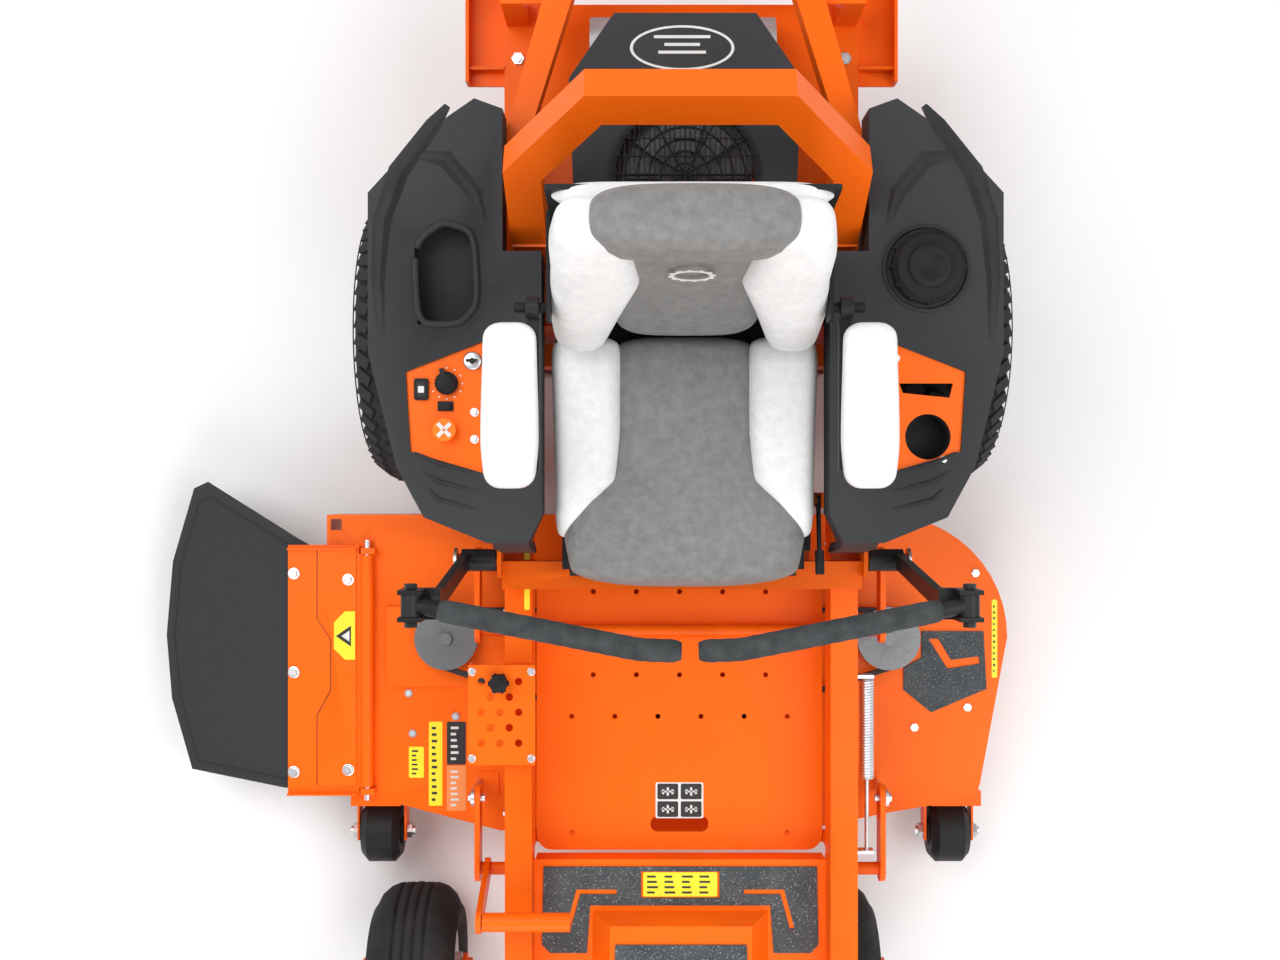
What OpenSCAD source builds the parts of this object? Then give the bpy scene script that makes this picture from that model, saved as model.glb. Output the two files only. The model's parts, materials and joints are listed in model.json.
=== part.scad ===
/* [Main frame] */
// Middle of each frame rail from the centreline
rail_x = 300; // [280:1:310]
// Width of a frame rail
rail_w = 50; // [40:1:50]
// Height of a frame rail
rail_h = 76; // [60:1:92]
// Underside of the rails above the ground
rail_z = 345; // [345:1:370]
// Wall of the rails and cross tubes
tube_wall = 4; // [2:0.5:6]
// Rear end of the frame, behind the rear axle
frame_rear = 600; // [590:1:640]
// Thickness of plates and brackets
plate = 6; // [5:0.5:8]

// Radius of the accessory bolt holes in the rear plate
rear_hole_r = 6.5; // [5:0.5:7]

/* [Rear wheels] */
// Outer diameter of a rear tyre
rear_d = 558; // [500:1:560]
// Width of a rear tyre
rear_w = 241; // [180:1:260]
// Outer side of a rear tyre from the centreline
rear_out = 587; // [587:1:640]
// Diameter of a rear rim
rear_rim_d = 305; // [250:1:330]

/* [Casters] */
// Outer diameter of a caster tyre
caster_d = 328; // [270:1:330]
// Width of a caster tyre
caster_w = 172; // [120:1:180]
// Diameter of a caster rim
caster_rim_d = 152; // [110:1:170]
// Caster pivot on the discharge side, from the centreline
caster_right = 525; // [500:1:560]
// Caster pivot on the trim side, from the centreline
caster_left = 308; // [290:1:360]
// Caster pivots ahead of the rear axle
caster_y = 1340; // [1340:1:1500]
// Trail of the caster axle behind its pivot
trail = 85; // [60:1:90]

/* [Deck] */
// Discharge side of the deck, from the centreline
deck_right = 702; // [690:1:740]
// Trim side of the deck, from the centreline
deck_left = 658; // [655:1:720]
// Rear edge of the deck ahead of the rear axle
deck_rear = 343; // [330:1:345]
// Front edge of the deck ahead of the rear axle
deck_front = 973; // [966:1:978]
// Top of the deck above the ground
deck_top = 200; // [180:1:206]
// Height of the deck's skirt
skirt_h = 122; // [100:1:130]
// Thickness of the deck's sheet
sheet = 4; // [3:0.5:5]
// Spacing of the outer blades from the middle one, sideways
blade_pitch = 437; // [430:1:440]
// Length of a blade, tip to tip
blade_len = 444; // [360:1:450]
// Diameter of an anti-scalp roller
roller_d = 125; // [100:1:130]
// Reach of the discharge flap beyond the deck's side
flap_reach = 345; // [280:1:420]

/* [Operator station] */
// Top of the floor pan above the ground
floor_z = 303; // [303:1:306]
// Half width of the floor pan and footrest
floor_half = 275; // [275:1:275]
// Width of the seat
seat_w = 450; // [380:1:454]
// Top of the seat cushion above the ground
seat_z = 640; // [620:1:660]
// Front edge of the seat cushion ahead of the rear axle
seat_front = 460; // [440:1:500]
// Top of the seat back above the seat cushion
back_h = 475; // [400:1:540]
// Length of an armrest
arm_len = 257; // [200:1:290]
// Height of the lap bars above the ground
bar_z = 880; // [850:1:920]
// Diameter of the foam grips
grip_d = 36; // [30:1:40]

/* [Bodywork and engine] */
// Outer edge of a fender from the centreline
fender_out = 529; // [500:1:545]
// Top of the fenders above the ground
fender_z = 670; // [660:1:700]
// Wall of the plastic bodywork
skin = 5; // [4:0.5:6]
// Outer width of the hoop behind the seat
hoop_w = 590; // [570:1:594]
// Width of the hoop's square tube
hoop_tube = 60; // [50:1:60]
// Crankshaft axis behind the rear axle
crank_y = 240; // [238:1:260]
// Diameter of the fan guard
fan_d = 250; // [200:1:252]
// Diameter of the fuel cap
cap_d = 120; // [90:1:130]

/* [Fits] */
// Radial clearance of shafts and pins in their bores
fit = 0.05; // [0.02:0.01:0.1]
// Gap between soft or moving pieces and their neighbours
gap = 0.3; // [0.2:0.1:0.5]

/* [Hidden] */
$fn = 48;

orange = [0.98, 0.42, 0.02];
charcoal = [0.23, 0.24, 0.25];
black = [0.08, 0.08, 0.09];
zinc = [0.78, 0.79, 0.8];
steel = [0.55, 0.56, 0.58];
cast = [0.62, 0.63, 0.64];
seat_light = [0.92, 0.92, 0.9];
seat_grey = [0.54, 0.53, 0.52];

// the bars and shafts of the deck lift, and the stop plate
lift_arm = 135;
lift_r = 12;
lift_z = rail_z - 23;
lift_front_y = -1015;
lift_rear_y = -560;
lift_x = 380;
lift_plate = 10;
link_pin_r = 8;
// the rails, the beam across the front and the engine plate
rail_in = rail_x - rail_w / 2;
rail_out = rail_x + rail_w / 2;
rail_top = rail_z + rail_h;
beam_half = 35;
beam_z = rail_z + 16;
engine_y = 10;
engine_z = rail_top + plate;
// the caster forks: spindle, crown, arms and axle bolt
spindle_r = 16;
hub_r = 34;
crown_t = 8;
crown_z = caster_d + 5;
hub_z = crown_z + crown_t + 4;
hub_top = beam_z + rail_h + 10;
fork_arm = 8;
fork_half = caster_w / 2 + 6;
bolt_r = 9.5;
// the levers and their pivots
lever_y = -417;
lever_z = 480;
lever_r = 12;
lever_x = 334;
lever_len = 62;
clevis_x = 423;
clevis_y = -463;
clevis_pin_r = 6;
bar_r = 12.5;
bar_bend = [76, -530];
bar_tip = [12, -532];
// the blades' axes
blade_mid = (deck_left - deck_right) / 2;
blade_side_y = -(deck_rear + 243);
blade_mid_y = blade_side_y - 144;
blade_r = 12.5;
blade_z = deck_top - 108;
pulley_z = deck_top + 20;
pulley_r = 62;
groove_r = 50;
// the footrest, one step above the floor pan
foot_rear = -990;
foot_z = rail_z + 8;
pedestal_h = 48;
floor_rear = -452;
floor_front = -985;
floor_bar_h = 16;
// the chute's hinge
chute_x = -(deck_right - 84);
chute_z = deck_top + 14;
chute_r = 6;
chute_rear = -402;
chute_front = -899;
// the seat
hinge_pin_r = 4;
seat_hinge = [-435, 503];
brake_at = [-309, 540];
brake_x = seat_w / 2 + 9;
pan_z = 500;
pan_t = 6;
runner_h = 20;
shell_z = pan_z + pan_t + runner_h + gap;
shell_t = 8;
seat_half = seat_w / 2;
arm_pivot = [-8, 848];
arm_pin_r = 8;
arm_x = seat_half + 4;
arm_w = 92;
// the height stop plate
stop_x = -389;
stop_w = 122;
stop_y = -792;
stop_l = 182;
stop_z = rail_top + 29;
stop_pin = [-331, -668];
stop_pin_r = 7;
// where the fuel filler is, seen from above
cap_at = [400, 79];
// the whole machine stands on z = 0 with the middle of its box over the origin
x_low = -(deck_right + flap_reach);
x_high = deck_left;
y_low = -(caster_y - trail + caster_d / 2);
y_high = frame_rear + 50;
home = [-(x_low + x_high) / 2, -(y_low + y_high) / 2, 0];

module placed() translate(home) children();
module both() {
  children();
  mirror([1, 0, 0]) children();
}
module box(lo, hi) translate(lo) cube(hi - lo);
module rod_x(r, x0, x1, y, z) translate([x0, y, z]) rotate([0, 90, 0]) cylinder(r = r, h = x1 - x0);
module rod_y(r, y0, y1, x, z) translate([x, y0, z]) rotate([-90, 0, 0]) cylinder(r = r, h = y1 - y0);
module rod_z(r, z0, z1, x, y) translate([x, y, z0]) cylinder(r = r, h = z1 - z0);
// a shape drawn with y and z as its two axes, from x0 to x1
module side(x0, x1) translate([x0, 0, 0]) rotate([90, 0, 90]) linear_extrude(x1 - x0) children();
// a shape drawn with x and z as its two axes, from y0 to y1
module front(y0, y1) translate([0, y1, 0]) rotate([90, 0, 0]) linear_extrude(y1 - y0) children();
// a flat bar with round ends, in two dimensions
module strap(p, q, r) {
  run = norm(q - p);
  turn = atan2(q[1] - p[1], q[0] - p[0]);
  translate(p) circle(r);
  translate(q) circle(r);
  translate(p) rotate(turn) translate([0, -r * 0.94]) square([run, r * 1.88]);
}
// a rod from one point to another
module rod(r, p, q) {
  d = q - p;
  run = norm(d);
  translate(p) rotate([0, acos(d[2] / run), atan2(d[1], d[0])]) cylinder(r = r, h = run);
}
// a hollow square tube along x
module tube_x(lo, hi) difference() {
  box(lo, hi);
  box(lo + [-1, tube_wall, tube_wall], hi + [1, -tube_wall, -tube_wall]);
}
// the corner of a rounded outline: an arc from angle a to angle b
function arc(c, r, a, b, n = 6) = [for (i = [0:n]) c + r * [cos(a + (b - a) * i / n), sin(a + (b - a)
  * i / n)]];
function round_rect(x0, x1, y0, y1, r) = concat(
  arc([x1 - r, y1 - r], r, 0, 90), arc([x0 + r, y1 - r], r, 90, 180),
  arc([x0 + r, y0 + r], r, 180, 270), arc([x1 - r, y0 + r], r, 270, 360));
module hex_bolt(r, h) {
  cylinder(r = r * 1.7, h = h * 0.6, $fn = 6);
  cylinder(r = r, h = h);
}

// ---- frame ----
module main_frame() color(orange) difference() {
  union() {
    both() difference() {
      box([rail_in, -caster_y + beam_half, rail_z], [rail_out, frame_rear, rail_top]);
      box([rail_in + tube_wall, -caster_y, rail_z + tube_wall],
          [rail_out - tube_wall, frame_rear + 1, rail_top - tube_wall]);
    }
    tube_x([-caster_right, -caster_y - beam_half, beam_z],
      [caster_left, -caster_y + beam_half, beam_z + rail_h]);
    for (x = [-caster_right, caster_left]) rod_z(hub_r, hub_z, hub_top, x, -caster_y);
    box([-rail_out, engine_y, rail_top], [rail_out, frame_rear, engine_z]);
    tube_x([-rail_out, -470, rail_top], [rail_out, -420, rail_top + 50]);
    both() {
      box([201, seat_hinge[0] - 10, rail_top + 49], [207, seat_hinge[0] + 10, seat_hinge[1] + 8]);
      rod_x(hinge_pin_r, 186, 202, seat_hinge[0], seat_hinge[1]);
    }
    box([50, -421, rail_top], [235, -69, rail_top + sheet]);
    box([brake_x + 7, -322, rail_top], [brake_x + 13, -296, brake_at[1] + 12]);
    box([brake_x + 7, -322, rail_top], [rail_in + 10, -296, rail_top + plate]);
    rod_x(hinge_pin_r, brake_x - 2, brake_x + 8, brake_at[0], brake_at[1]);
    tube_x([-rail_out, -70, rail_top], [rail_out, -30, pan_z - gap]);
    for (y = [floor_rear - 30, floor_front + 15]) {
      box([-rail_in - 8, y, floor_z - sheet - floor_bar_h], [rail_in + 8, y + 20, floor_z - sheet]);
      both() box([rail_in + 1, y, floor_z - sheet - floor_bar_h], [rail_in + 8, y + 20, rail_z + 1]);
    }
    both() for (y = [lift_front_y, lift_rear_y])
      box([rail_x - 20, y - 22, rail_z - 45], [rail_x + 20, y + 22, rail_z + 1]);
    both() {
      box([rail_in, -60, rail_z - 95], [rail_in + 8, 60, rail_z + 1]);
      box([rail_out - 1, lever_y - 30, rail_z + 30], [rail_out + plate, lever_y + 30, lever_z + 22]);
      rod_x(lever_r, rail_out, lever_x + lever_len + 8, lever_y, lever_z);
      box([311, 236, rail_top], [rail_out, 258, fender_z - skin]);
      box([290, -342, rail_top], [312, -322, fender_z - skin]);
      box([346, -305, rail_top - 20], [366, -290, fender_z - skin]);
      box([rail_out - 1, -305, rail_top - 20], [366, -290, rail_top]);
    }
  }
  for (x = [-caster_right, caster_left]) rod_z(spindle_r + fit, hub_z - 1, hub_top + 1, x, -caster_y);
  for (y = [lift_front_y, lift_rear_y]) rod_x(lift_r + fit, -rail_x - 40, rail_x + 40, y, lift_z);
  both() rod_x(30, rail_in - 1, rail_in + 9, 0, rear_d / 2);
  rod_z(60, rail_top - 1, engine_z + 1, 0, crank_y);
}

module engine_guard() color(orange) {
  bar = 40;
  bar_low = 545;
  both() {
    box([rail_out, 455, rail_top - 18], [395, frame_rear + 50, rail_top - 12]);
    box([389, 455, rail_top - 12], [395, frame_rear + 50, rail_top + 20]);
    box([rail_out, 480, rail_top - 12], [389, 486, rail_top + 10]);
    translate([280, frame_rear - bar, engine_z]) cube([bar, bar, bar_low - engine_z]);
    difference() {
      translate([0, 0, bar_low]) linear_extrude(bar) polygon([[322, 275], [282, 275], [180, frame_rear],
        [180, frame_rear + 50], [218, frame_rear + 50]]);
      translate([0, 0, bar_low + tube_wall]) linear_extrude(bar - 2 * tube_wall) polygon([[316, 274],
        [288, 274],
        [187, frame_rear], [187, frame_rear + 44], [214, frame_rear + 44]]);
    }
    box([215, frame_rear - bar, bar_low], [320, frame_rear, bar_low + plate]);
  }
  box([-180, frame_rear + 10, bar_low], [180, frame_rear + 50, bar_low + bar]);
  difference() {
    box([-389, frame_rear + 44, rail_top - 12], [389, frame_rear + 50, rail_top + 60]);
    for (x = [-100, 100]) for (z = [6, 42])
      rod_y(rear_hole_r, frame_rear + 43, frame_rear + 51, x, rail_top + z);
  }
}

module seat_hoop() color(orange) {
  half = hoop_w / 2;
  foot = [150, 600];
  lean = 30;
  tall = 352;
  both() box([half - hoop_tube + 1, foot[0] - 26, engine_z], [half - 1, foot[0] + 24, foot[1] + 14]);
  translate([0, foot[0] - 2, foot[1] - 8]) rotate([90 - lean, 0, 0]) translate([0, 0, -28])
    linear_extrude(hoop_tube - 4) difference() {
      polygon([[-half, 0], [-half, tall - 165], [-160, tall], [160, tall], [half, tall - 165], [half, 0]]);
      polygon([[-half + hoop_tube, -1], [-half + hoop_tube, tall - 185], [-135, tall - hoop_tube],
        [135, tall - hoop_tube], [half - hoop_tube, tall - 185], [half - hoop_tube, -1]]);
    }
}

module footrest() color(orange) {
  front_y = -caster_y + beam_half;
  difference() {
    union() {
      box([-floor_half, front_y, foot_z - sheet], [floor_half, foot_rear, foot_z]);
      box([-floor_half + 1, foot_rear - sheet, floor_z + 1], [floor_half - 1, foot_rear, foot_z]);
    }
    box([-150, front_y - 1, foot_z - sheet - 1], [150, -1100, foot_z + 1]);
  }
  difference() {
    pedestal(0, 0);
    pedestal(sheet, 1);
  }
}
// the raised middle of the footrest: a wedge with sloping sides and a sloping rear
module pedestal(inset, over) {
  front_y = -caster_y + beam_half;
  intersection() {
    front(front_y - over, -1080) polygon([[-166 + inset, foot_z - over],
      [-132 + inset, foot_z + pedestal_h - inset],
      [132 - inset, foot_z + pedestal_h - inset], [166 - inset, foot_z - over]]);
    side(-200, 200) polygon([[-1086 - inset, foot_z - over], [-1118 - inset, foot_z + 100],
      [front_y - over, foot_z + 100], [front_y - over, foot_z - over]]);
  }
}

// the pads' outlines leave the slanted windows through which the painted sheet shows
module footrest_mats() color(charcoal) {
  mat = 3;
  translate([0, 0, foot_z]) linear_extrude(mat) difference() {
    polygon([[-258, -1003], [258, -1003], [261, -1150], [246, -1166], [176, -1166], [170, -1076],
      [-170, -1076], [-176, -1166], [-246, -1166], [-261, -1150]]);
    square_gap();
    for (s = [-1, 1]) polygon([[s * 120, -1046], [s * 196, -1046], [s * 216, -1120],
      [s * 207, -1120], [s * 189, -1055], [s * 120, -1055]]);
  }
  translate([0, 0, foot_z + pedestal_h]) linear_extrude(mat)
    polygon([[-122, -1135], [122, -1135], [126, -caster_y + beam_half + 6],
      [-126, -caster_y + beam_half + 6]]);
}
module square_gap() translate([-74, -1062]) square([148, 50]);

module floor_pan() color(orange) difference() {
  translate([0, 0, floor_z - sheet]) linear_extrude(sheet) polygon(concat(
    [[floor_half - gap, floor_rear], [-floor_half + gap, floor_rear]],
    arc([-floor_half + 30, floor_front + 30], 30 - gap, 180, 270),
    arc([floor_half - 30, floor_front + 30], 30 - gap, 270, 360)));
  for (row = [0:3]) for (i = [0:4 + row % 2])
    rod_z(5, floor_z - sheet - 1, floor_z + 1, (i - (4 + row % 2) / 2) * 83, -488 - row * 80 );
  for (x = [-207, 207]) rod_z(5, floor_z - sheet - 1, floor_z + 1, x, -952);
  translate([0, -935, floor_z - sheet - 1]) linear_extrude(sheet + 2)
    polygon(round_rect(-56, 56, -15, 15, 14));
}

// ---- bodywork ----
function fender_outline(i) = [[-305 - i, 345 - i], [-352 - i * 0.3, 362 - i * 1.3], [-442 + i, 300 - i],
  [-fender_out + i, 205 - i], [-fender_out + i, -60], [-482 + i, -250 + i], [-436 + i, -335 + i],
  [-330, -378 + i], [-262 - i, -378 + i], [-240 - i, -330 + i], [-240 - i, 108 - i], [-305 - i, 108 - i]];
tray = [[-452, 120], [-405, 158], [-352, 140], [-345, 20], [-375, -14], [-446, -14]];
panel = [[-466, -93], [-336, -42], [-336, -262], [-458, -226]];
panel_lip = 8;
dial = [-398, -112];
module fender_shell() {
  difference() {
    translate([0, 0, fender_z - 78]) linear_extrude(78) polygon(fender_outline(0));
    translate([0, 0, fender_z - 79]) linear_extrude(79 - skin) polygon(fender_outline(skin));
    translate([0, 0, fender_z - skin - 1]) linear_extrude(skin + 2) polygon(panel);
  }
}
module fender_right() color(charcoal) {
  difference() {
    fender_shell();
    translate([0, 0, fender_z - skin - 1]) linear_extrude(skin + 2) polygon(tray);
  }
  difference() {
    translate([0, 0, fender_z - 52]) linear_extrude(52 - skin) polygon([for (p = tray)
      p + 6 * sign_from(p)]);
    translate([0, 0, fender_z - 48]) linear_extrude(50) polygon(tray);
  }
  nose();
}
function sign_from(p) = [p[0] < -400 ? -1 : 1, p[1] < 70 ? -1 : 1];
// the sloping nose that comes down ahead of the tyre
module nose() side(-rail_out + 2, -262) polygon([[-378, fender_z - 6], [-378, fender_z - 78],
  [-384, fender_z - 150],
  [-398, fender_z - 190], [-404, fender_z - 186], [-390, fender_z - 40]]);
cup = [404, -201];
cup_r = 38;
module fender_left() color(charcoal) {
  difference() {
    mirror([1, 0, 0]) fender_shell();
    rod_z(cap_d / 2 - 8, fender_z - skin - 1, fender_z + 1, 400, 79);
  }
  difference() {
    rod_z(cup_r + 4, fender_z - 70, fender_z - skin - 4, cup[0], cup[1]);
    rod_z(cup_r, fender_z - 66, fender_z, cup[0], cup[1]);
  }
  mirror([1, 0, 0]) nose();
}

module side_panels() color(orange) {
  z0 = fender_z - skin - 4;
  lip = [for (p = panel) p + panel_lip * [p[0] < -400 ? -1 : 1, p[1] < -150 ? -1 : 1]];
  translate([0, 0, z0]) linear_extrude(4) difference() {
    polygon(lip);
    translate([-355, -75]) circle(12 + fit);
    translate([-440, -122]) square([20, 32], center = true);
    translate([-400, -150]) square([26, 16], center = true);
    translate([-400, -190]) circle(6 + fit);
    translate([dial[0], dial[1]]) circle(7 + fit);
  }
  mirror([1, 0, 0]) translate([0, 0, z0]) linear_extrude(4) difference() {
    polygon(lip);
    translate([-cup[0], cup[1]]) circle(cup_r);
    polygon([[-446, -112], [-356, -112], [-362, -128], [-440, -136]]);
  }
}

module electrics() color(black) {
  z0 = fender_z - skin - 4;
  rod_z(12, z0 - 30, z0 + 6, -355, -75);
  box([-450, -138, z0 - 18], [-430, -106, z0 + 6]);
  box([-413, -158, z0 - 14], [-387, -142, z0 + 7]);
  difference() {
    box([-414, -204, z0 - 24], [-386, -176, z0]);
    rod_z(6 + fit, z0 - 25, z0 + 1, -400, -190);
  }
  difference() {
    box([dial[0] - 12, dial[1] - 12, z0 - 26], [dial[0] + 12, dial[1] + 12, z0]);
    rod_z(7 + fit, z0 - 27, z0 + 1, dial[0], dial[1]);
  }
  box([60, -400, rail_top + 4 + gap], [230, -80, rail_top + 66]);
}

module fuel_tank() color(black) difference() {
  union() {
    translate([0, 0, fender_z - 84]) linear_extrude(84 - skin - gap)
      polygon(round_rect(328, 500, -12, 224, 20));
    rod_z(cap_d / 2 - 20, fender_z - 20, fender_z + 20, 400, 79);
  }
  rod_z(cap_d / 2 - 26, fender_z - 60, fender_z + 21, 400, 79);
}
module fuel_cap() color(black) {
  r = cap_d / 2;
  difference() {
    translate([cap_at[0], cap_at[1], fender_z + gap]) rotate_extrude() polygon([[0, 0], [r - 6, 0],
      [r, 6], [r, 24], [r - 8, 32], [0, 34]]);
    rod_z(r - 20 + fit, fender_z - 1, fender_z + 20 + gap, 400, 79);
  }
  for (a = [0:30:330]) translate([cap_at[0], cap_at[1], fender_z + 4]) rotate(a)
    translate([r - 3, -3, 0]) cube([5, 6, 20]);
}

// ---- engine and drive ----
module engine_block() color(cast) {
  difference() {
    union() {
      rod_z(120, engine_z, 560, 0, crank_y);
      for (s = [-1, 1]) translate([0, crank_y, 500]) rotate(90 + s * 45) {
        translate([60, -60, -50]) cube([150, 120, 100]);
        for (i = [0:6]) translate([118 + i * 12, -72, -56]) cube([5, 144, 112]);
        translate([200, -55, -45]) cube([40, 110, 90]);
      }
    }
    rod_z(blade_r + 3 + fit, engine_z - 1, 561, 0, crank_y);
  }
  rod_x(52, -165, 165, frame_rear - 95, engine_z + 52);
}
module engine_shroud() color(charcoal) {
  shroud_cover();
  both() rod_z(8, 556, 634, 106, crank_y + 106);
}
module shroud_cover() difference() {
  y0 = crank_y - fan_d / 2 - 1;
  outline = [[-130, y0], [130, y0], [188, y0 + 90], [196, y0 + 290], [120, y0 + 400], [-120, y0 + 400],
    [-196, y0 + 290], [-188, y0 + 90]];
  translate([0, 0, 560]) linear_extrude(80) polygon(outline);
  translate([0, 0, 555]) linear_extrude(79) polygon([for (p = outline)
    [p[0] * 0.97, crank_y + (p[1] - crank_y) * 0.97]]);
  rod_z(fan_d / 2 - 8, 560, 650, 0, crank_y);
}
module fan_guard() color(black) translate([0, crank_y, 640]) {
  r = fan_d / 2;
  difference() {
    cylinder(r = r, h = 8);
    translate([0, 0, -1]) cylinder(r = r - 8, h = 10);
  }
  for (q = [1:5]) difference() {
    cylinder(r = q * r / 6.2 + 1.5, h = 5);
    translate([0, 0, -1]) cylinder(r = q * r / 6.2 - 1.5, h = 7);
  }
  for (a = [0:30:150]) rotate(a) translate([-r + 4, -1.5, 0]) cube([2 * r - 8, 3, 4]);
}
module crankshaft() color(steel) {
  rod_z(blade_r + 3, 250, 618, 0, crank_y);
  translate([0, crank_y, 250]) rotate_extrude() polygon([[0, 0], [70, 0], [70, 3], [60, 8], [70, 13],
    [70, 16],
    [78, 16], [78, 60], [55, 60], [55, 66], [45, 72], [55, 78], [55, 82], [0, 82]]);
  rod_z(fan_d / 2 - 18, 600, 604, 0, crank_y);
  for (a = [0:36:324]) translate([0, crank_y, 603]) rotate(a) translate([45, -2, 0])
    cube([fan_d / 2 - 66, 4, 24]);
}
module hydro_units() color(cast) both() difference() {
  union() {
    box([150, -70, rear_d / 2 - 60], [rail_in, 60, rear_d / 2 + 45]);
    rod_x(58, 140, rail_in, 0, rear_d / 2);
    rod_z(24, rear_d / 2 + 40, rear_d / 2 + 62, 200, -30);
  }
  rod_x(spindle_r + fit, 138, rail_in + 1, 0, rear_d / 2);
}

// ---- wheels ----
module tyre(r, w, bead, crown) rotate([0, 90, 0]) rotate_extrude($fn = 64) {
  h = w / 2;
  polygon(concat([[bead, -h + 14], [bead + 10, -h + 6]],
    arc([r - crown - 34, -h + 36], 36, 262, 270, 2),
    arc([r - crown, -h + crown], crown, 280, 350),
    [[r, 0]], arc([r - crown, h - crown], crown, 10, 80),
    arc([r - crown - 34, h - 36], 36, 90, 98, 2), [[bead + 10, h - 6], [bead, h - 14]]));
}
module rear_tyre() color(black) translate([rear_out - rear_w / 2, 0, rear_d / 2])
  tyre(rear_d / 2, rear_w, rear_rim_d / 2, 44);
module rear_tyre_left() rear_tyre();
module rear_tyre_right() mirror([1, 0, 0]) rear_tyre();
module rim(bead, w, dish, hub, bore) rotate([0, 90, 0]) rotate_extrude($fn = 64) {
  h = w / 2 - 14;
  polygon([[bore, -dish - 24], [hub, -dish - 24], [hub, -dish - 4], [bead - 22, -dish + 4], [bead - 16, -h],
    [bead, -h], [bead, h], [bead - 6, h], [bead - 12, -dish + 12], [hub, -dish + 6], [hub, -dish + 12],
      [bore, -dish + 12]]);
}
module rear_rim() color(zinc) translate([rear_out - rear_w / 2, 0, rear_d / 2]) {
  difference() {
    rim(rear_rim_d / 2, rear_w, -40, 62, 0);
    for (a = [0:72:288]) rotate([a, 0, 0]) translate([0, 92, 0]) rotate([0, 90, 0]) translate([0, 0, -90])
      cylinder(r = 16, h = 190);
  }
  rod_x(spindle_r, 150 - rear_out + rear_w / 2, 20, 0, 0);
  for (a = [36:72:324]) rotate([a, 0, 0]) translate([51, 44, 0]) rotate([0, 90, 0])
    cylinder(r = 9, h = 14, $fn = 6);
}
module rear_rim_left() rear_rim();
module rear_rim_right() mirror([1, 0, 0]) rear_rim();

module at_caster(x) translate([x, -caster_y, 0]) children();
module caster_fork() {
  axle = caster_d / 2;
  color(orange) difference() {
    union() {
      box([-fork_half - fork_arm, -48, crown_z], [fork_half + fork_arm, 60, crown_z + crown_t]);
      both() side(fork_half, fork_half + fork_arm) difference() {
        union() {
          polygon([[-48, crown_z + crown_t], [60, crown_z + crown_t], [trail + 22, axle],
            [trail - 22, axle]]);
          translate([trail, axle]) circle(24);
        }
        translate([trail, axle]) circle(bolt_r + fit);
      }
      rod_z(spindle_r + 8, crown_z + crown_t, hub_z - gap, 0, 0);
      rod_z(spindle_r, crown_z, hub_top + 14, 0, 0);
      rod_z(spindle_r + 10, hub_top + gap, hub_top + 14, 0, 0);
    }
  }
  color(zinc) {
    rod_x(bolt_r, -fork_half - fork_arm - 16, fork_half + fork_arm + 16, trail, axle);
    both() rod_x(bolt_r + 6, fork_half + fork_arm, fork_half + fork_arm + 10, trail, axle, $fn = 6);
  }
}
module caster_fork_left() at_caster(caster_left) caster_fork();
module caster_fork_right() at_caster(-caster_right) caster_fork();
module caster_tyre() color(black) translate([0, trail, caster_d / 2])
  tyre(caster_d / 2, caster_w, caster_rim_d / 2, 40);
module caster_tyre_left() at_caster(caster_left) caster_tyre();
module caster_tyre_right() at_caster(-caster_right) caster_tyre();
module caster_rim() color(zinc) translate([0, trail, caster_d / 2]) {
  difference() {
    union() {
      rim(caster_rim_d / 2, caster_w, 0, 30, 0);
      rod_x(26, -caster_w / 2 - 2, caster_w / 2 + 2, 0, 0);
    }
    rod_x(bolt_r + fit, -caster_w, caster_w, 0, 0);
  }
}
module caster_rim_left() at_caster(caster_left) caster_rim();
module caster_rim_right() at_caster(-caster_right) caster_rim();

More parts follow.
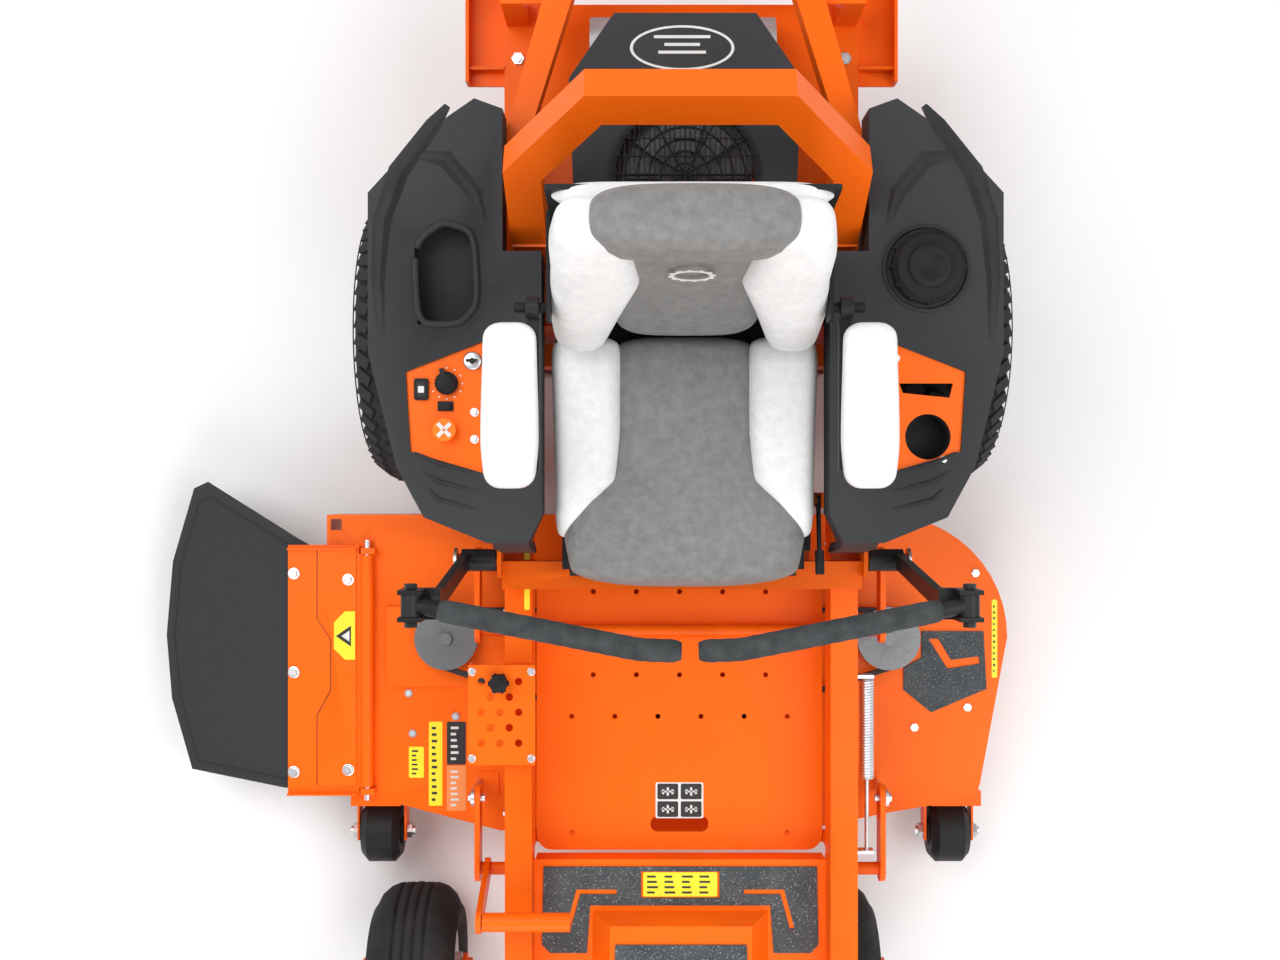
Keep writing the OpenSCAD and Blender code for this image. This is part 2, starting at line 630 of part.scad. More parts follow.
// ---- deck ----
function deck_outline(i) = concat(
  [[-deck_right + i, -deck_rear - i]],
  arc([deck_left - 243, -deck_rear - 243], 243 - i, 90, 0, 12),
  arc([deck_left - 94, -deck_front + 100], 40 - i, -10, -80, 4),
  [[424, -deck_front + 36 + i], [250, -deck_front + i], [-356, -deck_front + i],
    [-586, -deck_front + 60 + i],
    [-deck_right + i, -deck_front + 90 + i]]);
roller_y = -(deck_front + 24);
roller_z = roller_d / 2 + 39;
roller_xs = [-606, 558];
blade_at = [[blade_mid - blade_pitch, blade_side_y], [blade_mid, blade_mid_y],
  [blade_mid + blade_pitch, blade_side_y]];
module deck_shell() color(orange) difference() {
  union() {
    difference() {
      translate([0, 0, deck_top - skirt_h]) linear_extrude(skirt_h) polygon(deck_outline(0));
      translate([0, 0, deck_top - skirt_h - 1]) linear_extrude(skirt_h + 1 - sheet)
        polygon(deck_outline(sheet));
    }
    for (x = roller_xs) {
      box([x - 50, roller_y + 70, deck_top - 90], [x + 50, roller_y + 76, deck_top - 10]);
      box([x - 50, roller_y + 70, deck_top - 60], [x + 50, roller_y + 100, deck_top - 10]);
      for (s = [-50, 46]) box([x + s, roller_y - 16, roller_z - 18],
        [x + s + sheet, roller_y + 76, roller_z + 22]);
    }
    box([-deck_right + 120, blade_side_y - 100, deck_top - 1],
      [deck_left - 213, blade_side_y + 60, deck_top + 6]);
    for (y = [chute_rear - 4, chute_front + 16])
      box([chute_x - 11, y - 14, deck_top - 1], [chute_x + 16, y - 2, chute_z + 11]);
    both() for (y = [lift_front_y + lift_arm, lift_rear_y + lift_arm])
      box([lift_x - 22, y - 24, deck_top - 1], [lift_x + 18, y + 24, deck_top + 4]);
  }
  box([-deck_right - 1, chute_front + 70, deck_top - skirt_h - 1],
    [-deck_right + sheet + 1, chute_rear - 30, deck_top - 12]);
  for (x = roller_xs) rod_x(bolt_r + fit, x - 60, x + 60, roller_y, roller_z);
  for (p = blade_at) rod_z(40, deck_top - 20, deck_top + 10, p[0], p[1]);
  rod_y(chute_r + fit, chute_front - 11, chute_rear + 11, chute_x, chute_z);
  box([-deck_right + 8, -deck_rear - 30, deck_top - sheet - 1],
    [-deck_right + 30, -deck_rear - 8, deck_top + 1]);
}
module spindle_housings() color(cast) for (p = blade_at) translate([p[0], p[1], 0]) difference() {
  union() {
    rod_z(39.8, deck_top - 70, deck_top + 7, 0, 0);
    rod_z(60, deck_top + 6, deck_top + 12, 0, 0);
    for (a = [0:90:270]) rotate(a) box([20, -4, deck_top + 11], [54, 4, deck_top + 16]);
  }
  rod_z(blade_r + fit, deck_top - 71, deck_top + 17, 0, 0);
}
module blade(p) color(steel) translate([p[0], p[1], 0]) {
  difference() {
    translate([-blade_len / 2, -29, blade_z]) cube([blade_len, 58, 5]);
    rod_z(8 + fit, blade_z - 1, blade_z + 6, 0, 0);
  }
  both() translate([blade_len / 2 - 90, 12, blade_z + 5]) cube([88, 17, 9]);
  rod_z(blade_r, blade_z + 5, pulley_z + 26, 0, 0);
  rod_z(8, blade_z - 8, blade_z + 5, 0, 0);
  rod_z(17, blade_z - 14, blade_z, 0, 0, $fn = 6);
  translate([0, 0, pulley_z]) rotate_extrude() polygon([[blade_r, 0], [pulley_r, 0], [pulley_r, 2],
    [groove_r, 4],
    [groove_r, 15], [pulley_r, 17], [pulley_r, 19], [blade_r, 19]]);
}
module blade_right() blade(blade_at[0]);
module blade_centre() blade(blade_at[1]);
module blade_left() blade(blade_at[2]);
module belt_line(r) hull() for (p = blade_at) translate(p) circle(r, $fn = 32);
module deck_belt() color(black) translate([0, 0, pulley_z + 4.5]) linear_extrude(10) difference() {
  belt_line(pulley_r - 1);
  belt_line(groove_r + 1);
}
module roller(x) color(black) translate([x, roller_y, roller_z]) difference() {
  rotate([0, 90, 0]) rotate_extrude() polygon([[0, -44], [28, -44], [28, -39], [roller_d / 2 - 14, -39],
    [roller_d / 2, -26], [roller_d / 2, 26], [roller_d / 2 - 14, 39], [28, 39], [28, 44], [0, 44]]);
  rod_x(bolt_r + fit, -50, 50, 0, 0);
}
module scalp_roller_left() roller(roller_xs[1]);
module scalp_roller_right() roller(roller_xs[0]);

module deck_hardware() color(zinc) {
  for (x = roller_xs) {
    rod_x(bolt_r, x - 66, x + 66, roller_y, roller_z);
    for (s = [-1, 1]) rod_x(bolt_r + 6, x + s * 55 - 5, x + s * 55 + 5, roller_y, roller_z, $fn = 6);
  }
  rod_y(chute_r, chute_front - 10, chute_rear + 10, chute_x, chute_z);
  both() for (y = [lift_front_y + lift_arm, lift_rear_y + lift_arm]) {
    difference() {
      side(lift_x + lift_plate + 2, lift_x + lift_plate + 8) strap([y, deck_top + 20], [y, lift_z], 16);
      box([lift_x, y - 20, deck_top], [lift_x + 20, y + 20, deck_top + 4]);
    }
    rod_x(link_pin_r, lift_x - 8, lift_x + lift_plate + 14, y, lift_z);
  }
  for (p = deck_bolts) translate([p[0], p[1], deck_top]) hex_bolt(5, 7);
}
deck_bolts = [[-538, -699], [-444, -745], [-530, -779], [472, -767], [578, -727], [594, -459],
  [-300, -400], [300, -400]];

module grip_pad() color(charcoal) translate([0, 0, deck_top]) linear_extrude(3) difference() {
  polygon([[486, -575], [610, -575], [616, -690], [505, -737], [450, -692], [450, -648], [486, -628]]);
  polygon([[500, -590], [520, -590], [545, -632], [600, -625], [603, -640], [538, -650]]);
}

module chute_bracket() color(orange) difference() {
  union() {
    front(chute_front, chute_rear) polygon([[chute_x + 6, chute_z - 4], [chute_x + 6, chute_z + 4],
      [chute_x - 8, chute_z],
      [-(deck_right + 74), chute_z - 0], [-(deck_right + 74), chute_z - 4], [chute_x - 20, chute_z - 4]]);
    rod_y(chute_r + 6, chute_front + 18, chute_rear - 20, chute_x, chute_z);
    for (y = [chute_rear - 10, chute_front]) box([-(deck_right + 74), y, chute_z - 1],
      [chute_x - 20, y + sheet, chute_z + 10]);
  }
  rod_y(chute_r + fit, chute_front - 1, chute_rear + 1, chute_x, chute_z);
  box([chute_x - 17, chute_rear - 18 - gap, chute_z - 20], [chute_x + 20, chute_rear + 1, chute_z + 20]);
  box([chute_x - 17, chute_front - 1, chute_z - 20], [chute_x + 20, chute_front + 14 + gap, chute_z + 20]);
}
module chute_flap() color(charcoal) {
  z1 = chute_z - 4;
  tip = -(deck_right + flap_reach);
  intersection() {
    front(-900, -270) polygon([[chute_x - 22, z1], [chute_x - 22, z1 - 7], [-760, z1 - 7], [tip, 118],
      [tip, 126], [-762, z1]]);
    translate([0, 0, 50]) linear_extrude(200) polygon([[chute_x - 22, -420], [-722, -410],
      [-955, -277], [-985, -290],
      [tip + 14, -440], [tip, -590], [tip + 12, -720], [tip + 58, -862], [-787, -887],
        [chute_x - 22, -887]]);
  }
}

// ---- deck lift ----
module lift_plates(y) both() side(lift_x, lift_x + lift_plate) difference() {
  strap([y, lift_z], [y + lift_arm, lift_z], 24);
  translate([y + lift_arm - 17, lift_z - link_pin_r - 0.6]) square([34, 2 * link_pin_r + 1.2]);
}
module lift_rear() color(orange) {
  rod_x(lift_r, -lift_x - lift_plate, lift_x + lift_plate, lift_rear_y, lift_z);
  lift_plates(lift_rear_y);
}
module lift_pedal() {
  foot = [-1072, 470];
  color(orange) {
    rod_x(lift_r, -lift_x - lift_plate, lift_x + lift_plate, lift_front_y, lift_z);
    lift_plates(lift_front_y);
    side(-lift_x + 8, -lift_x + 18) strap([lift_front_y, lift_z], foot, 20);
    rod_x(9, -lift_x + 10, -204, foot[0], foot[1]);
  }
  color(black) difference() {
    rod_x(17, -lift_x + 20, -202, foot[0], foot[1]);
    rod_x(9, -lift_x + 10, -204, foot[0], foot[1]);
  }
}
module height_plate() color(orange) difference() {
  union() {
    box([stop_x, stop_y, stop_z - sheet], [stop_x + stop_w, stop_y + stop_l, stop_z]);
    box([stop_x, stop_y, stop_z - 50], [stop_x + sheet, stop_y + stop_l, stop_z]);
    for (y = [stop_y, stop_y + stop_l - sheet])
      box([-rail_out + 3, y, rail_top], [-rail_in - 3, y + sheet, stop_z]);
  }
  for (row = [0:4]) for (i = [0:1 + (row + 1) % 2])
    rod_z(stop_pin_r, stop_z - 9, stop_z + 1, stop_pin[0] + (i - (1 + (row + 1) % 2) / 2)
      * 34, stop_pin[1] + 28 - row * 28);
}
module height_pin() color(black) {
  rod_z(stop_pin_r - fit, rail_top + 4, stop_z + 12, stop_pin[0] , stop_pin[1] + 28);
  rod_z(stop_pin_r + 4, stop_z, stop_z + 10, stop_pin[0], stop_pin[1] + 28);
  rod_z(15, stop_z + 10, stop_z + 34, stop_pin[0], stop_pin[1] + 28);
}
module frame_hardware() color(zinc) {
  spring_x = rail_out + 22;
  spring = [-832, -642];
  y_end = spring[0] - 130;
  translate([spring_x, spring[1], rail_z + 40]) rotate([90, 0, 0]) rotate_extrude()
    polygon(concat([[0, 0]], [for (i = [0:37]) each [[11, i * 5], [13, i * 5 + 2.5]]], [[0, 190]]));
  rod_y(4, y_end, spring[0] + 1, spring_x, rail_z + 40);
  box([rail_out, spring[1], rail_z + 28], [spring_x + 12, spring[1] + 6, rail_z + 52]);
  box([rail_out, y_end - 6, rail_z + 28], [spring_x + 12, y_end, rail_z + 52]);
  both() {
    for (y = [-520, -700, -900, -1100]) translate([rail_out, y, rail_z + 20]) rotate([0, 90, 0])
      hex_bolt(6, 8);
    translate([lever_x + lever_len + 8, lever_y, lever_z]) rotate([0, 90, 0]) cylinder(r = 22, h = 5);
    for (y = [40, 330, 500]) translate([rail_x, y, engine_z]) hex_bolt(7, 9);
  }
}

// ---- controls ----
module lever() color(black) {
  difference() {
    union() {
      rod_x(lever_r + 8, lever_x, lever_x + lever_len, lever_y, lever_z);
      side(lever_x + lever_len - 14, lever_x + lever_len) strap([lever_y, lever_z],
        [clevis_y + 4, bar_z - 40], 15);
      box([lever_x + lever_len - 14, clevis_y - 24, bar_z - 44],
        [clevis_x + 18, clevis_y + 24, bar_z - 28]);
      for (s = [-24, 17]) box([clevis_x - 18, clevis_y + s, bar_z - 30],
        [clevis_x + 18, clevis_y + s + 7, bar_z + 16]);
    }
    rod_x(lever_r + fit, lever_x - 1, lever_x + lever_len + 1, lever_y, lever_z);
  }
  rod_y(clevis_pin_r, clevis_y - 30, clevis_y + 30, clevis_x, bar_z);
  for (s = [-33, 25]) rod_y(clevis_pin_r + 4, clevis_y + s, clevis_y + s + 8, clevis_x, bar_z, $fn = 6);
}
module lever_left() lever();
module lever_right() mirror([1, 0, 0]) lever();
bar_start = [clevis_x - 8, clevis_y, bar_z];
bar_knee = [bar_bend[0], bar_bend[1], bar_z];
bar_end = [bar_tip[0], bar_tip[1], bar_z];
function along(p, q, d) = p + (q - p) * d / norm(q - p);
module lap_bar() color(black) difference() {
  union() {
    rod_y(15, clevis_y - 16.5, clevis_y + 16.5, clevis_x, bar_z);
    rod(bar_r, bar_start, bar_knee);
    translate(bar_knee) sphere(bar_r + 1.5);
    rod(bar_r, bar_knee, along(bar_end, bar_knee, 6));
  }
  rod_y(clevis_pin_r + fit, clevis_y - 20, clevis_y + 20, clevis_x, bar_z);
}
module lap_bar_left() lap_bar();
module lap_bar_right() mirror([1, 0, 0]) lap_bar();
// the foam is cut in two sleeves, one on each side of the bar's knee
module sleeve(a, b) difference() {
  rod(grip_d / 2, a, b);
  rod(bar_r + gap, along(a, b, -1), along(b, a, -1));
}
module grip() color(charcoal) {
  sleeve(along(bar_start, bar_knee, 34), along(bar_knee, bar_start, 8));
  sleeve(along(bar_knee, bar_end, 8), along(bar_end, bar_knee, 2));
}
module grip_left() grip();
module grip_right() mirror([1, 0, 0]) grip();

module brake_lever() color(black) {
  x = brake_x;
  difference() {
    side(x, x + 6) strap(brake_at, [-420, 560], 9);
    rod_x(hinge_pin_r + fit, x - 1, x + 7, brake_at[0], brake_at[1]);
  }
  rod(8, [x + 3, -396, 556], [x + 3, -437, 563]);
}
module ignition_key() color(black) translate([-355, -75, fender_z - skin + 2]) {
  translate([0, 0, gap]) cylinder(r = 5, h = 8);
  translate([-9, -2, 6]) cube([18, 4, 16]);
}
module throttle_lever() color(black) translate([dial[0], dial[1], fender_z - skin]) {
  translate([0, 0, -24]) cylinder(r = 7, h = 26);
  translate([0, 0, gap]) cylinder(r = 19, h = 6);
  rotate(20) translate([-3, 4, 4]) cube([7, 21, 12]);
}
module pto_knob() color(orange) translate([-400, -190, fender_z - skin]) {
  translate([0, 0, -20]) cylinder(r = 6, h = 24);
  translate([0, 0, gap]) cylinder(r1 = 15, r2 = 19, h = 18);
}

// ---- seat ----
module seat_pan() color(black) {
  difference() {
    union() {
      box([-200, -440, pan_z], [200, -36, pan_z + pan_t]);
      both() rod_x(hinge_pin_r + 5, 184, 200.5, seat_hinge[0], seat_hinge[1]);
    }
    both() rod_x(hinge_pin_r + fit, 185, 202, seat_hinge[0], seat_hinge[1]);
  }
  both() box([140, -430, pan_z + pan_t], [170, -60, pan_z + pan_t + runner_h]);
}
module seat_shell() color(black) {
  side(-seat_half + 12, seat_half - 12) polygon([[-seat_front + 30, shell_z], [88, shell_z],
    [150, seat_z + 360],
    [142, seat_z + 360], [80, shell_z + shell_t], [-seat_front + 30, shell_z + shell_t]]);
  both() difference() {
    side(seat_half - 12, seat_half - 6) polygon([[-60, shell_z], [88, shell_z], [112, 700], [138, 870],
      [-30, 870], [-30, 826],
      [40, 800], [10, 700], [-40, 620]]);
    box([seat_half - 13, -35, seat_z + 5], [seat_half - 5, 30, 790]);
  }
  both() rod_x(arm_pin_r, seat_half - 12, arm_x + 40, arm_pivot[0], arm_pivot[1]);
}
module seat_cushion() color(seat_grey) {
  z0 = shell_z + shell_t + gap;
  half = seat_half - 0.1;
  side(-seat_half + 12 + gap, seat_half - 12 - gap) polygon([[-seat_front + 20, z0],
    [-seat_front, z0 + 40], [-seat_front + 18, seat_z - 14],
    [-seat_front + 50, seat_z], [-60, seat_z], [-24, seat_z], [-24, z0]]);
  both() side(seat_half - 12 - gap, half) polygon([[-seat_front + 60, z0], [-seat_front + 40, z0 + 40],
    [-seat_front + 60, seat_z - 24],
    [-64, seat_z - 24], [-64, z0]]);
}
module seat_back() color(seat_light) {
  z0 = seat_z + 5;
  top = seat_z + back_h;
  lean = 0.163;
  tall = back_h - 5;
  side(-seat_half + 12 + gap, seat_half - 12 - gap) polygon([[-18, z0],
    [-18 + lean * (tall - 40), top - 45], [86, top - 6],
    [110, top], [136, top - 16], [142, seat_z + 361], [141, seat_z + 359], [86, z0]]);
  both() side(seat_half - 5.5, seat_half + 1) polygon([[44, z0 + 30], [80, top - 130],
    [118, top - 130], [100, z0 + 250]]);
}
module armrest() {
  y1 = -31;
  difference() {
    union() {
      rod_x(arm_pin_r + 7, arm_x, arm_x + 24, arm_pivot[0], arm_pivot[1]);
      box([arm_x + 2, y1 - arm_len + 30, arm_pivot[1] - 20], [arm_x + 22, arm_pivot[0], arm_pivot[1] - 8]);
    }
    rod_x(arm_pin_r + fit, arm_x - 1, arm_x + 30, arm_pivot[0], arm_pivot[1]);
  }
  translate([0, 0, arm_pivot[1] - 8 + gap]) linear_extrude(42)
    polygon(round_rect(arm_x, arm_x + arm_w, y1 - arm_len, y1, 26));
}
module armrest_left() color(seat_light) armrest();
module armrest_right() color(seat_light) mirror([1, 0, 0]) armrest();

placed() main_frame();
placed() engine_guard();
placed() seat_hoop();
placed() footrest();
placed() footrest_mats();
placed() floor_pan();
placed() fender_left();
placed() fender_right();
placed() side_panels();
placed() electrics();
placed() fuel_tank();
placed() fuel_cap();
placed() engine_block();
placed() engine_shroud();
placed() fan_guard();
placed() crankshaft();
placed() hydro_units();
placed() rear_tyre_left();
placed() rear_tyre_right();
placed() rear_rim_left();
placed() rear_rim_right();
placed() caster_fork_left();
placed() caster_fork_right();
placed() caster_tyre_left();
placed() caster_tyre_right();
placed() caster_rim_left();
placed() caster_rim_right();
placed() deck_shell();
placed() spindle_housings();
placed() deck_belt();
placed() deck_hardware();
placed() scalp_roller_left();
placed() scalp_roller_right();
placed() blade_left();
placed() blade_centre();
placed() blade_right();
placed() grip_pad();
placed() chute_bracket();
placed() chute_flap();
placed() height_plate();
placed() height_pin();
placed() lift_pedal();
placed() lift_rear();
placed() frame_hardware();
placed() lever_left();
placed() lever_right();
placed() lap_bar_left();
placed() lap_bar_right();
placed() grip_left();
placed() grip_right();
placed() seat_pan();
placed() seat_shell();
placed() seat_cushion();
placed() seat_back();
placed() armrest_left();
placed() armrest_right();
placed() brake_lever();
placed() ignition_key();
placed() throttle_lever();
placed() pto_knob();
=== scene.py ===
import json
import math

import bmesh
import bpy
from mathutils import Matrix, Vector


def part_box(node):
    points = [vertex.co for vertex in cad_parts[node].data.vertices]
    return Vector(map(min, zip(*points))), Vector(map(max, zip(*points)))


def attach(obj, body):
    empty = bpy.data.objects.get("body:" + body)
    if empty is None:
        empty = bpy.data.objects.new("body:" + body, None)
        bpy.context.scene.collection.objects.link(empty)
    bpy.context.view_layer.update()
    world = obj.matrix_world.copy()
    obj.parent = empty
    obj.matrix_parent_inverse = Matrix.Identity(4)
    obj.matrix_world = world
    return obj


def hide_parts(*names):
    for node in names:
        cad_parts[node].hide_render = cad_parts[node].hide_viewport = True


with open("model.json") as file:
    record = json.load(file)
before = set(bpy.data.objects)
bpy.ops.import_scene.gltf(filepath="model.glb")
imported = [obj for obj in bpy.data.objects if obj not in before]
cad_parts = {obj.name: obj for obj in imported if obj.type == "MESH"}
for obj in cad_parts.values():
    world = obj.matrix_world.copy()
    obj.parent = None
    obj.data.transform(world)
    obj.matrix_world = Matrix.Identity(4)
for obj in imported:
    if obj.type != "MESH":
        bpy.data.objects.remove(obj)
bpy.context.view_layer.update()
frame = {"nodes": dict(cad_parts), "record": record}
NODES = frame["nodes"]

# The machine's own frame: x from its centreline, y from the rear axle and z from the ground.
WHEEL_LOW, WHEEL_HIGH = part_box("rear_tyre_left")
OTHER_LOW, OTHER_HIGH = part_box("rear_tyre_right")
HOME = Vector(((WHEEL_HIGH.x + OTHER_LOW.x) / 2, (WHEEL_LOW.y + WHEEL_HIGH.y) / 2, 0.0))


def at(x, y, z):
    """A point given in millimetres from the centreline, the rear axle and the ground."""
    return HOME + Vector((x, y, z)) / 1000


# ---------------------------------------------------------------- materials
class Shader:
    """A small helper that builds one node material."""

    def __init__(self, name):
        self.material = bpy.data.materials.new(name)
        self.material.use_nodes = True
        self.tree = self.material.node_tree
        self.shader = self.tree.nodes["Principled BSDF"]
        self.place = self.node("ShaderNodeTexCoord").outputs["Object"]

    def node(self, kind, **values):
        made = self.tree.nodes.new(kind)
        for name, value in values.items():
            if name in made.inputs:
                made.inputs[name].default_value = value
            else:
                setattr(made, name, value)
        return made

    def link(self, out, into):
        self.tree.links.new(out, into)

    def set(self, **values):
        for name, value in values.items():
            self.shader.inputs[name.replace("_", " ")].default_value = value

    def noise(self, scale, detail=4.0, rough=0.55):
        made = self.node("ShaderNodeTexNoise", Scale=scale, Detail=detail, Roughness=rough)
        self.link(self.place, made.inputs["Vector"])
        return made.outputs["Fac"]

    def cells(self, scale, feature="F1"):
        made = self.node("ShaderNodeTexVoronoi", feature=feature, Scale=scale)
        self.link(self.place, made.inputs["Vector"])
        return made.outputs["Distance"]

    def ramp(self, fac, *stops):
        made = self.node("ShaderNodeValToRGB")
        ramp = made.color_ramp
        while len(ramp.elements) < len(stops):
            ramp.elements.new(0.5)
        for element, (spot, colour) in zip(ramp.elements, stops):
            element.position = spot
            element.color = colour if len(colour) == 4 else (*colour, 1)
        self.link(fac, made.inputs["Fac"])
        return made.outputs["Color"]

    def mix(self, fac, a, b):
        made = self.node("ShaderNodeMix", data_type="RGBA")
        for source, name in ((a, "A"), (b, "B")):
            into = [i for i in made.inputs if i.name == name and i.type == "RGBA"][0]
            if isinstance(source, tuple):
                into.default_value = (*source, 1) if len(source) == 3 else source
            else:
                self.link(source, into)
        into = [i for i in made.inputs if i.name == "Factor" and i.type == "VALUE"][0]
        if isinstance(fac, float):
            into.default_value = fac
        else:
            self.link(fac, into)
        return [o for o in made.outputs if o.type == "RGBA"][0]

    def span(self, fac, low, high):
        made = self.node("ShaderNodeMapRange")
        made.inputs["To Min"].default_value = low
        made.inputs["To Max"].default_value = high
        self.link(fac, made.inputs["Value"])
        return made.outputs["Result"]

    def bump(self, height, strength, distance, under=None):
        made = self.node("ShaderNodeBump", Strength=strength, Distance=distance)
        self.link(height, made.inputs["Height"])
        if under is not None:
            self.link(under, made.inputs["Normal"])
        return made.outputs["Normal"]

    def edges(self, fac_low=0.505, fac_high=0.56):
        """A mask that is 1 on worn outside edges."""
        made = self.node("ShaderNodeNewGeometry")
        worn = self.ramp(made.outputs["Pointiness"], (fac_low, (0, 0, 0)), (fac_high, (1, 1, 1)))
        return worn

    def colour(self, out):
        self.link(out, self.shader.inputs["Base Color"])

    def rough(self, out):
        self.link(out, self.shader.inputs["Roughness"])

    def normal(self, out):
        self.link(out, self.shader.inputs["Normal"])


def powder_coat(name, base, deep, rough=0.36):
    """Painted steel: an orange-peel surface with slight clouding and lighter worn edges."""
    s = Shader(name)
    cloud = s.noise(6.0, 5.0)
    tone = s.ramp(cloud, (0.3, deep), (0.7, base))
    light = tuple(min(1.0, c * 1.12 + 0.004) for c in base)
    worn = s.mix(s.edges(), tone, light)
    s.colour(worn)
    s.rough(s.span(s.noise(24.0, 6.0), rough - 0.07, rough + 0.1))
    fine = s.bump(s.noise(900.0, 2.0), 0.08, 0.0006)
    s.normal(s.bump(s.noise(160.0, 2.0), 0.05, 0.002, fine))
    s.set(Coat_Weight=0.06, Coat_Roughness=0.2, Specular_IOR_Level=0.14)
    return s.material


def moulded(name, base, rough=0.55, grain=700.0, strength=0.25):
    """Moulded plastic with a fine pebbled grain and dusty patches."""
    s = Shader(name)
    pale = tuple(c * 1.35 + 0.005 for c in base)
    dusty = s.ramp(s.noise(9.0, 6.0), (0.38, base), (0.75, pale))
    s.colour(s.mix(s.edges(0.51, 0.6), dusty, tuple(c * 1.6 + 0.004 for c in base)))
    s.rough(s.span(s.noise(40.0), rough - 0.08, rough + 0.12))
    pebble = s.bump(s.cells(grain), strength, 0.0008)
    s.normal(s.bump(s.noise(60.0, 3.0), 0.06, 0.002, pebble))
    s.set(Specular_IOR_Level=0.16)
    return s.material


def metal(name, base, rough, streak=220.0, metallic=1.0, cast=False):
    """Bare or plated metal: brushed streaks, or a sand-cast skin."""
    s = Shader(name)
    s.set(Metallic=metallic)
    blotch = s.noise(30.0, 6.0)
    dark = tuple(c * 0.72 for c in base)
    s.colour(s.mix(s.edges(0.5, 0.55), s.ramp(blotch, (0.3, dark), (0.65, base)),
            tuple(min(1, c * 1.2) for c in base)))
    s.rough(s.span(s.noise(90.0, 8.0), rough - 0.08, rough + 0.16))
    s.normal(s.bump(s.cells(streak) if cast else s.noise(streak, 2.0), 0.3 if cast else 0.08, 0.001))
    return s.material


def rubber(name, base, rough=0.78, grain=320.0):
    """Rubber with a matt bloom, scuffs and a fine skin."""
    s = Shader(name)
    bloom = s.ramp(s.noise(14.0, 7.0), (0.35, base), (0.8, tuple(c * 1.9 + 0.02 for c in base)))
    s.colour(s.mix(s.edges(0.51, 0.58), bloom, tuple(c * 2.0 + 0.006 for c in base)))
    s.rough(s.span(s.noise(50.0), rough - 0.12, rough + 0.1))
    s.normal(s.bump(s.noise(grain, 4.0), 0.25, 0.001))
    s.set(Specular_IOR_Level=0.14)
    return s.material


def grit_mat(name):
    """Non-slip pad: dark slate with pale mineral grains standing out of it."""
    s = Shader(name)
    grains = s.cells(210.0)
    specks = s.noise(330.0, 3.0, 0.7)
    slate = s.ramp(s.noise(20.0), (0.3, (0.035, 0.045, 0.05)), (0.7, (0.07, 0.08, 0.085)))
    fleck = s.ramp(specks, (0.6, (0, 0, 0)), (0.66, (1, 1, 1)))
    s.colour(s.mix(fleck, slate, (0.42, 0.43, 0.43)))
    s.rough(s.span(specks, 0.6, 0.95))
    s.normal(s.bump(grains, 0.8, 0.0015, s.bump(specks, 0.5, 0.001)))
    return s.material


def vinyl(name, base, deep, grain=520.0, rough=0.5):
    """Grained seat vinyl: fine leather cells, soft wrinkles and a light sheen."""
    s = Shader(name)
    mottled = s.ramp(s.noise(60.0, 8.0, 0.65), (0.35, deep), (0.65, base))
    s.colour(mottled)
    s.rough(s.span(s.noise(120.0), rough - 0.08, rough + 0.14))
    leather = s.bump(s.cells(grain), 0.5, 0.0009)
    s.normal(s.bump(s.noise(34.0, 5.0), 0.14, 0.004, leather))
    s.set(Sheen_Weight=0.12, Sheen_Roughness=0.5, Specular_IOR_Level=0.4)
    return s.material


def foam(name):
    """Closed-cell foam sleeve: tiny pores on a green-grey black."""
    s = Shader(name)
    s.colour(s.ramp(s.noise(40.0, 6.0), (0.35, (0.028, 0.032, 0.034)), (0.7, (0.06, 0.066, 0.068))))
    s.rough(s.span(s.noise(80.0), 0.82, 0.96))
    s.normal(s.bump(s.cells(900.0), 0.6, 0.0008, s.bump(s.noise(140.0), 0.2, 0.001)))
    return s.material


def printed(name, base, rough=0.42):
    """A printed film label: glossy, faintly mottled."""
    s = Shader(name)
    s.colour(s.ramp(s.noise(30.0), (0.3, tuple(c * 0.92 for c in base)), (0.7, base)))
    s.rough(s.span(s.noise(70.0), rough - 0.05, rough + 0.08))
    s.normal(s.bump(s.noise(300.0), 0.04, 0.0005))
    return s.material


ORANGE = powder_coat("orange_powder_coat", (0.88, 0.128, 0.001), (0.74, 0.10, 0.001))
BLACK_PAINT = powder_coat("black_powder_coat", (0.018, 0.018, 0.019), (0.012, 0.012, 0.013), 0.42)
CHARCOAL = moulded("charcoal_plastic", (0.024, 0.025, 0.027))
CHARCOAL_SMOOTH = moulded("smooth_charcoal_plastic", (0.024, 0.025, 0.028), 0.42, 1200.0, 0.08)
BLACK = moulded("black_plastic", (0.011, 0.011, 0.012), 0.45, 900.0, 0.15)
ORANGE_PLASTIC = moulded("orange_plastic", (0.95, 0.16, 0.01), 0.4, 900.0, 0.1)
CAST = metal("cast_aluminium", (0.45, 0.46, 0.47), 0.52, 260.0, 1.0, True)
ZINC = metal("zinc_plate", (0.72, 0.73, 0.75), 0.3)
STEEL = metal("blade_steel", (0.16, 0.165, 0.17), 0.4)
RIM = powder_coat("silver_wheel_paint", (0.62, 0.62, 0.63), (0.52, 0.52, 0.53), 0.34)
TYRE = rubber("tyre_rubber", (0.014, 0.0145, 0.0155))
FLAP = rubber("flap_rubber", (0.017, 0.018, 0.019), 0.68, 420.0)
BELT = rubber("belt_rubber", (0.02, 0.02, 0.02))
MAT = grit_mat("gritted_mat")
GREY_VINYL = vinyl("grey_vinyl", (0.235, 0.23, 0.222), (0.17, 0.167, 0.162))
WHITE_VINYL = vinyl("white_vinyl", (0.86, 0.86, 0.85), (0.77, 0.77, 0.765), 420.0, 0.48)
FOAM = foam("foam_sleeve")
YELLOW = printed("yellow_label", (0.95, 0.83, 0.02))
LABEL_WHITE = printed("white_label", (0.78, 0.78, 0.76))
LABEL_BLACK = printed("black_label", (0.02, 0.02, 0.02))
